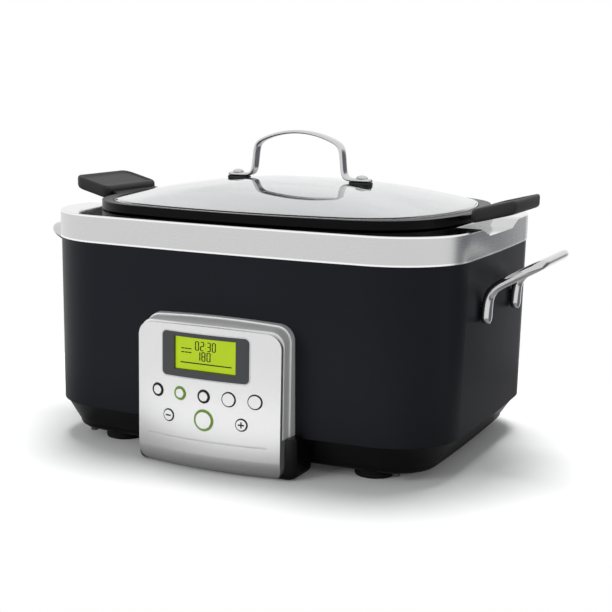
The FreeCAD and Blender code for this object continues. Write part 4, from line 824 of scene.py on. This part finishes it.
def bars_on_points():
    kinds = {"Length": "Float", "Width": "Float", "Depth": "Float", "Finish": "Material"}
    group, given = new_group("bars_on_points", kinds)
    size = group.node("ShaderNodeCombineXYZ", None, {0: given["Length"], 1: given["Depth"], 2: given["Width"]})
    bar = group.node("GeometryNodeMeshCube", None, {"Size": size})
    turn = group.node("GeometryNodeInputNamedAttribute", {"data_type": "FLOAT"}, {"Name": "turn"})
    scale = group.node("GeometryNodeInputNamedAttribute", {"data_type": "FLOAT"}, {"Name": "size"})
    rotation = group.node("ShaderNodeCombineXYZ", None, {1: turn})
    bars = group.node("GeometryNodeInstanceOnPoints", None,
                      {"Points": given["Geometry"], "Instance": bar, "Rotation": rotation, "Scale": scale})
    return close_group(group, bars, given["Finish"])


def wire_on_edges():
    group, given = new_group("wire_on_edges", {"Radius": "Float", "Finish": "Material"})
    path = group.node("GeometryNodeMeshToCurve", None, {0: given["Geometry"]})
    section = group.node("GeometryNodeCurvePrimitiveCircle", None,
                         {"Resolution": WIRE_SIDES, "Radius": given["Radius"]})
    wire = group.node("GeometryNodeCurveToMesh", None, {"Curve": path, "Profile Curve": section})
    return close_group(group, wire, given["Finish"])


# %% Growing a mesh


def grown(name, mesh, tree, slot, **inputs):
    """Run a node group on a mesh and keep what grows as a plain mesh."""
    seed = bpy.data.objects.new(name, mesh)
    scene.collection.objects.link(seed)
    modifier = seed.modifiers.new("growth", "NODES")
    modifier.node_group = tree
    inputs["Finish"] = FINISHES[slot]
    for item in tree.interface.items_tree:
        if item.in_out == "INPUT" and item.name in inputs:
            modifier[item.identifier] = inputs[item.name]
    ready = seed.evaluated_get(bpy.context.evaluated_depsgraph_get())
    made = joined(name, [bpy.data.meshes.new_from_object(ready)])
    bpy.data.objects.remove(seed)
    return made


GRID = repeat_on_grid()
BARS = bars_on_points()
WIRE = wire_on_edges()
print("node groups:", ", ".join(tree.name for tree in (GRID, BARS, WIRE)))

# %% [markdown]
# Four grooved rubber feet carry the cooker, and two dome screws hold the strap to the lid. Both are turned shapes, so
# a profile of radii and heights is all they need, and the grid sets out the copies. A Screw modifier would turn the
# same profile, but rings also close its ends.

# %% Feet and lid screws
FOOT_PROFILE = ((0.3, 0.8), (9, 0.8), (9.6, 0), (13.6, 0), (14.6, 0.4), (15, 1.4), (15, 3.2), (14.3, 3.5),
                (14.3, 4.1), (15, 4.4), (15, 6.9), (0.3, 6.9))
FEET = tuple(f"foot_{place}" for place in ("front_left", "front_right", "rear_left", "rear_right"))
SCREW_SHANK = 1.8
SCREW_HEAD = 4.6
SCREW_DOME = 2.5
SCREW_EDGE = 0.4
SCREW_CORE = 0.2
DOME_TURNS = tuple(math.radians(9 * step) for step in range(10))


def lathe(name, profile):
    """A turned mesh from radii and heights in millimetres."""
    return skin(name, [circle(radius * MM, z * MM) for radius, z in profile])


def make_feet():
    low, high = corners_of("foot_front_left")
    middle = (low + high) / 2
    mesh = grown("feet", lathe("foot", FOOT_PROFILE), GRID, "foot_rubber", Columns=2, Rows=2,
                 Length=-2 * middle.x, Width=-2 * middle.y)
    piece("feet", mesh, "housing", "foot_rubber", *FEET)


def make_lid_screws():
    low, high = corners_of("lid_screws")
    bottom = low.z / MM
    head = high.z / MM - SCREW_DOME
    profile = [(SCREW_CORE, bottom), (SCREW_SHANK, bottom), (SCREW_SHANK, head), (SCREW_HEAD, head)]
    profile += [(SCREW_HEAD * math.cos(turn), head + SCREW_EDGE + (SCREW_DOME - SCREW_EDGE) * math.sin(turn))
                for turn in DOME_TURNS]
    mesh = grown("dome_screws", lathe("screw", profile), GRID, "polished_steel", Columns=2, Rows=1,
                 Length=2 * (high.x - SCREW_HEAD * MM), Width=0.0)
    piece("dome_screws", mesh, "lid", "polished_steel", "lid_screws")


make_feet()
make_lid_screws()

# %% [markdown]
# Under the temperature sensor's cap sits a coil spring, which closes up as the pot pushes the sensor down. The
# packed spring is a plain tube. A Screw modifier could wind the wire, but a chain of rings along a helix also closes
# the wire's two ends.

# %% Sensor spring
SPRING_TURNS = 3
SPRING_STEPS = 26
SPRING_WIRE = 1.0 * MM
SPRING_SIDES = 10


def make_spring():
    low, high = corners_of("sensor_spring")
    radius = high.x - SPRING_WIRE / 2
    climb = high.z - low.z - SPRING_WIRE
    rings = []
    for step in range(SPRING_TURNS * SPRING_STEPS + 1):
        turn = 2 * math.pi * step / SPRING_STEPS
        outward = Vector((math.cos(turn), math.sin(turn), 0))
        rise = low.z + SPRING_WIRE / 2 + climb * step / (SPRING_TURNS * SPRING_STEPS)
        place = outward * radius + UP * rise
        rings.append(bar_ring(place, outward, UP, SPRING_WIRE, SPRING_WIRE, squareness=2, sides=SPRING_SIDES))
    mesh = joined("coil_spring", [skin("coil", rings)])
    coil = piece("coil_spring", mesh, "housing", "zinc_steel", "sensor_spring")
    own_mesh(coil)


make_spring()

# %% [markdown]
# The display shows plain digits. A text object would give printed figures, but a real display lights seven bars,
# named a to g around and across, so each figure is a list of the bars it lights. Points carry a turn and a size,
# and the node group sets a bar on each.

# %% Display
LIT_BARS = {"0": "abcdef", "1": "bc", "2": "abged", "3": "abgcd", "8": "abcdefg"}
BAR_PLACES = {"a": (0, 1, 0), "b": (0.5, 0.5, 90), "c": (0.5, -0.5, 90), "d": (0, -1, 0), "e": (-0.5, -0.5, 90),
              "f": (-0.5, 0.5, 90), "g": (0, 0, 0)}
BAR_LENGTH = 2.9 * MM
BAR_WIDTH = 0.85 * MM
BAR_DEPTH = 0.1 * MM
BAR_SUNK = 0.4
DIGIT_WIDTH = 2.5 * MM
DIGIT_HALF = 3.1 * MM
LEVEL_BAR = 0.75
DOT = 0.3
HOURS_ROW = (("0", -7.3), ("2", -3.1), ("3", 2.3), ("0", 6.5))
HEAT_ROW = (("1", -6.2), ("8", -2.0), ("0", 2.2))
HOURS_HEIGHT, HEAT_HEIGHT = 95.2, 87.7
COLON_PLACE, COLON_STEPS = -0.4, (-1.5, 1.5)
DEGREE_PLACE, DEGREE_STEP = 5.2, 2.8
SMALL_ROWS, SMALL_COLUMNS, SMALL_BAR = (92.6, 89.8), (-19, -16.1, -13.2), 0.9
LINE_HEIGHT, LINE_BARS, LINE_PITCH = 82.2, range(-7, 8), 0.96


def digit_points(row, height):
    """Points for a row of digits: x, z, turn and size of each bar."""
    points = []
    for digit, middle in row:
        for bar in LIT_BARS[digit]:
            across, up, turn = BAR_PLACES[bar]
            size = 1.0 if turn else LEVEL_BAR
            points.append((middle * MM + across * DIGIT_WIDTH, height * MM + up * DIGIT_HALF, turn, size))
    return points


def make_digits():
    front = corners_of("lcd_window")[0].y - BAR_DEPTH * BAR_SUNK
    points = digit_points(HOURS_ROW, HOURS_HEIGHT) + digit_points(HEAT_ROW, HEAT_HEIGHT)
    points += [(COLON_PLACE * MM, (HOURS_HEIGHT + step) * MM, 90, DOT) for step in COLON_STEPS]
    points += [(DEGREE_PLACE * MM, (HEAT_HEIGHT + DEGREE_STEP) * MM, 0, DOT)]
    points += [(x * MM, z * MM, 0, SMALL_BAR) for z in SMALL_ROWS for x in SMALL_COLUMNS]
    points += [(x * BAR_LENGTH * LINE_PITCH, LINE_HEIGHT * MM, 0, 1.0) for x in LINE_BARS]
    mesh = bpy.data.meshes.new("digit_points")
    mesh.from_pydata([(x, front, z) for x, z, turn, size in points], [], [])
    for name, column in (("turn", [math.radians(turn) for x, z, turn, size in points]),
                         ("size", [size for x, z, turn, size in points])):
        mesh.attributes.new(name, "FLOAT", "POINT").data.foreach_set("value", column)
    bars = grown("digits", mesh, BARS, "black_plastic", Length=BAR_LENGTH, Width=BAR_WIDTH, Depth=BAR_DEPTH)
    piece("digits", bars, "housing", "black_plastic")


make_digits()

# %% [markdown]
# The panel's face bows outwards. A Shrinkwrap modifier could press each detail onto it, but the bow is a plain arc,
# so everything is placed by x and z and pushed out to that arc. A bright wire runs round the display's bezel, every
# button sits in a ring, and the two step buttons carry a minus and a plus. Round buttons 4 and 5 and the step
# buttons, the thin black ring is painted shade, standing in for the shadow in the gap round the cap.

# %% Places on the face
FACE_HALF = 58.5 * MM
FACE_BOW = 6.5 * MM
FACE_RADIUS = (FACE_HALF ** 2 + FACE_BOW ** 2) / (2 * FACE_BOW)
FACE_FRONT = corners_of("panel_face")[0].y


def on_face(x, z, height=0.0):
    """A place on the bowed face, or a height in front of it."""
    back = FACE_RADIUS - math.sqrt(FACE_RADIUS ** 2 - x * x)
    return Vector((x, FACE_FRONT + back - height, z))


def loop_on_face(name, spots, slot, radius):
    """A round wire along a closed loop of spots on the face."""
    mesh = bpy.data.meshes.new(name)
    mesh.from_pydata([on_face(spot.x, spot.y) for spot in spots],
                     [(index, (index + 1) % len(spots)) for index in range(len(spots))], [])
    return grown(name, mesh, WIRE, slot, Radius=radius)


print(f"face bowed by {FACE_BOW / MM:.1f} mm, on a radius of {FACE_RADIUS / MM:.0f} mm")

# %% Rings and trim
TRIM_RADIUS = 0.5 * MM
TRIM_CORNER = 4 * MM
TRIM_STEPS = 6
TRIM_PITCH = 2 * MM
# Buttons 1 and 3 sit in real dark rings; the thin black rings round buttons 4, 5, minus and plus are painted shade for
# the gap round each cap.
DARK_RINGS_AND_GAP_SHADE = (("button_1", 4.3, 0.7), ("button_3", 4.3, 0.7), ("button_4", 5.1, 0.55), ("button_5", 5.1, 0.55),
              ("button_minus", 4.3, 0.5), ("button_plus", 4.3, 0.5))
LIT_RINGS = (("button_2", 4.3, 0.7), ("button_start", 7.2, 0.7))


def make_rings(name, slot, node, rows):
    wires = []
    for button, radius, thickness in rows:
        low, high = corners_of(button)
        middle = Vector(((low.x + high.x) / 2, (low.z + high.z) / 2))
        spots = [middle + spot.xy for spot in circle(radius * MM, 0)]
        wires.append(loop_on_face(button, spots, slot, thickness * MM))
    piece(name, joined(name, wires), "housing", slot, node)


def make_trim():
    low, high = corners_of("lcd_bezel")
    points = []
    for x, z, start in ((high.x, high.z, 0), (low.x, high.z, 90), (low.x, low.z, 180), (high.x, low.z, 270)):
        middle = Vector((x - math.copysign(TRIM_CORNER, x), z - (TRIM_CORNER if z == high.z else -TRIM_CORNER)))
        for step in range(TRIM_STEPS + 1):
            turn = math.radians(start + 90 * step / TRIM_STEPS)
            points.append(middle + Vector((math.cos(turn), math.sin(turn))) * TRIM_CORNER)
    loop = even(points + points[:1], TRIM_PITCH)[:-1]
    wire = loop_on_face("bezel_trim", loop, "polished_steel", TRIM_RADIUS)
    piece("bezel_trim", wire, "housing", "polished_steel")


make_trim()
make_rings("rings_and_gap_shade", "black_plastic", "button_rings", DARK_RINGS_AND_GAP_SHADE)
make_rings("glow_rings", "lit_ring", "light_rings", LIT_RINGS)

# %% Marks on the step buttons
BUTTON_PROUD = 0.8 * MM
MARK_LENGTH = 4.6 * MM
MARK_WIDTH = 1.15 * MM
MARK_DEPTH = 0.12 * MM
MARK_STEP = 0.3 * MM
MARK_SQUARENESS, MARK_SIDES = 6.0, 8
MARK_TURNS = {"minus": (False,), "plus": (False, True)}


def mark(name, middle, turned):
    """A flat bar on a button's cap."""
    path = even([Vector((-MARK_LENGTH / 2, 0)), Vector((MARK_LENGTH / 2, 0))], MARK_STEP)
    rings = []
    for spot in path:
        x, z = (0, spot.x) if turned else (spot.x, 0)
        place = on_face(middle.x + x, middle.z + z, BUTTON_PROUD)
        sideways = Vector((1, 0, 0)) if turned else UP
        rings.append(bar_ring(place, sideways, ACROSS, MARK_WIDTH, MARK_DEPTH, MARK_SQUARENESS, MARK_SIDES))
    return skin(name, rings)


def make_marks():
    for button, turns in MARK_TURNS.items():
        low, high = corners_of(f"button_{button}")
        bars = [mark(button, (low + high) / 2, turned) for turned in turns]
        piece(f"{button}_mark", joined(f"{button}_mark", bars), f"button_{button}", "black_plastic")


make_marks()

# %% [markdown]
# The studio's floor is a disc of pale paper that keeps the shadow. Seen by the camera it is nearly white. What it
# throws back onto the cooker is darker, a painted shade round the cooker that keeps the base black, except in front,
# where the panel mirrors it.
# A plane without end would be simpler, but it would hide the cooker's underside, so the disc is clear from below.

# %% Floor
FLOOR_RADIUS = 0.36
FLOOR_SIDES = 128
FLOOR_LIFT = 0.02
FLOOR_SEEN, FLOOR_SHADED_BOUNCE = 0.92, 0.31
FRONT_FROM, FRONT_TO = -0.19, -0.27


def floor_paper():
    finish = Finish("floor_paper", {"Roughness": 0.6, "Specular IOR Level": 0.1, "Emission Strength": FLOOR_LIFT})
    seen = finish.node("ShaderNodeLightPath", output="Is Camera Ray")
    # Painted shade: what the floor throws back is dark near and behind the cooker, and pale only in front.
    back = finish.ramp(finish.part(finish.coordinates(), "Y"), FRONT_TO, FRONT_FROM)
    shaded_bounce = finish.blend(back, grey(FLOOR_SEEN), grey(FLOOR_SHADED_BOUNCE))
    finish.feed("Base Color", finish.blend(seen, shaded_bounce, grey(FLOOR_SEEN)))
    finish.feed("Emission Color", seen)
    finish.feed("Alpha", 1 - finish.node("ShaderNodeNewGeometry", output="Backfacing"))
    return finish.material


def make_floor():
    mesh = bpy.data.meshes.new("floor")
    mesh.from_pydata(circle(FLOOR_RADIUS, 0, sides=FLOOR_SIDES), [], [range(FLOOR_SIDES)])
    mesh.materials.append(floor_paper())
    floor = bpy.data.objects.new("floor", mesh)
    scene.collection.objects.link(floor)


make_floor()
print(f"floor {2 * FLOOR_RADIUS:.2f} m across")

# %% [markdown]
# The world. The camera, and rays that have passed through glass, see it as plain white, through the Light Path node.
# Mirrors see white too, down to a grey table below the horizon, and a dim room low at the back right gives the metal
# its contrast. What lights the cooker is a softer fill. An image of a real studio would do all this at once, but
# here each part can be set by itself.

# %% World
FILL_COLOUR, FILL_LEVEL = (0.97, 0.985, 1.0, 1), 0.29
DIM_SIDE, DIM_COLOUR = (0.6, 0.77, -0.2), (0.17, 0.175, 0.195, 1)
DIM_FROM, DIM_TO = 0.84, 0.94
TABLE_FROM, TABLE_TO = -0.5, -0.24
TABLE_LEVEL = 0.2


def mirrored_room(sky):
    """What mirrors see in each direction."""
    direction = sky.node("ShaderNodeTexCoord", output="Generated")
    facing = sky.node("ShaderNodeVectorMath", {"operation": "DOT_PRODUCT"}, {0: direction, 1: DIM_SIDE}, "Value")
    dim = sky.ramp(facing, DIM_FROM, DIM_TO)
    white = sky.ramp(sky.part(direction, "Z"), TABLE_FROM, TABLE_TO)
    return sky.blend(dim, TABLE_LEVEL + white * (1 - TABLE_LEVEL), DIM_COLOUR)


def make_world():
    world = bpy.data.worlds.new("studio")
    scene.world = world
    world.use_nodes = True
    world.cycles.sampling_method = "NONE"
    sky = Nodes(world.node_tree)
    sky.tree.nodes.clear()

    def ray(name):
        return sky.node("ShaderNodeLightPath", output=name)

    def background(colour, level=1.0):
        return sky.node("ShaderNodeBackground", None, {"Color": colour, "Strength": level})

    lit = sky.node("ShaderNodeMixShader", None, {0: ray("Is Glossy Ray"), 1: background(FILL_COLOUR, FILL_LEVEL),
                                                 2: background(mirrored_room(sky))})
    seen = ray("Is Camera Ray") | ray("Is Transmission Ray")
    shown = sky.node("ShaderNodeMixShader", None, {0: seen, 1: lit, 2: background(grey(1.0))})
    sky.node("ShaderNodeOutputWorld", None, {"Surface": shown})
    return len(sky.tree.nodes)


print(f"world of {make_world()} nodes")

# %% [markdown]
# Lamps. A wide sun from above stands for a ceiling of soft boxes, and two soft panels fill the front and the right
# end. They light surfaces but show in no mirror and through no glass, because the white world already stands there.

# %% Lamps
MIDDLE = Vector((0, 0, 100 * MM))
SUN_WIDTH = math.radians(32)
PANEL_SIZE = 1.0
LAMPS = (("ceiling", "SUN", (-0.12, 0.45, 1.6), 3.0, {"angle": SUN_WIDTH}),
         ("front_left", "AREA", (-1.0, -1.8, 0.45), 28, {"size": PANEL_SIZE}),
         ("right", "AREA", (1.9, -0.6, 0.4), 7, {"size": PANEL_SIZE}))


def make_lamp(name, kind, place, energy, settings):
    """A lamp that points at the middle of the cooker."""
    light = bpy.data.lights.new(name, kind)
    light.energy = energy
    for setting, value in settings.items():
        setattr(light, setting, value)
    lamp = bpy.data.objects.new(name, light)
    lamp.location = place
    lamp.rotation_euler = (MIDDLE - Vector(place)).to_track_quat("-Z", "Y").to_euler()
    lamp.visible_glossy = False
    lamp.visible_transmission = False
    scene.collection.objects.link(lamp)


for row in LAMPS:
    make_lamp(*row)
scene.view_settings.view_transform = "Standard"
print(f"{len(LAMPS)} lamps")
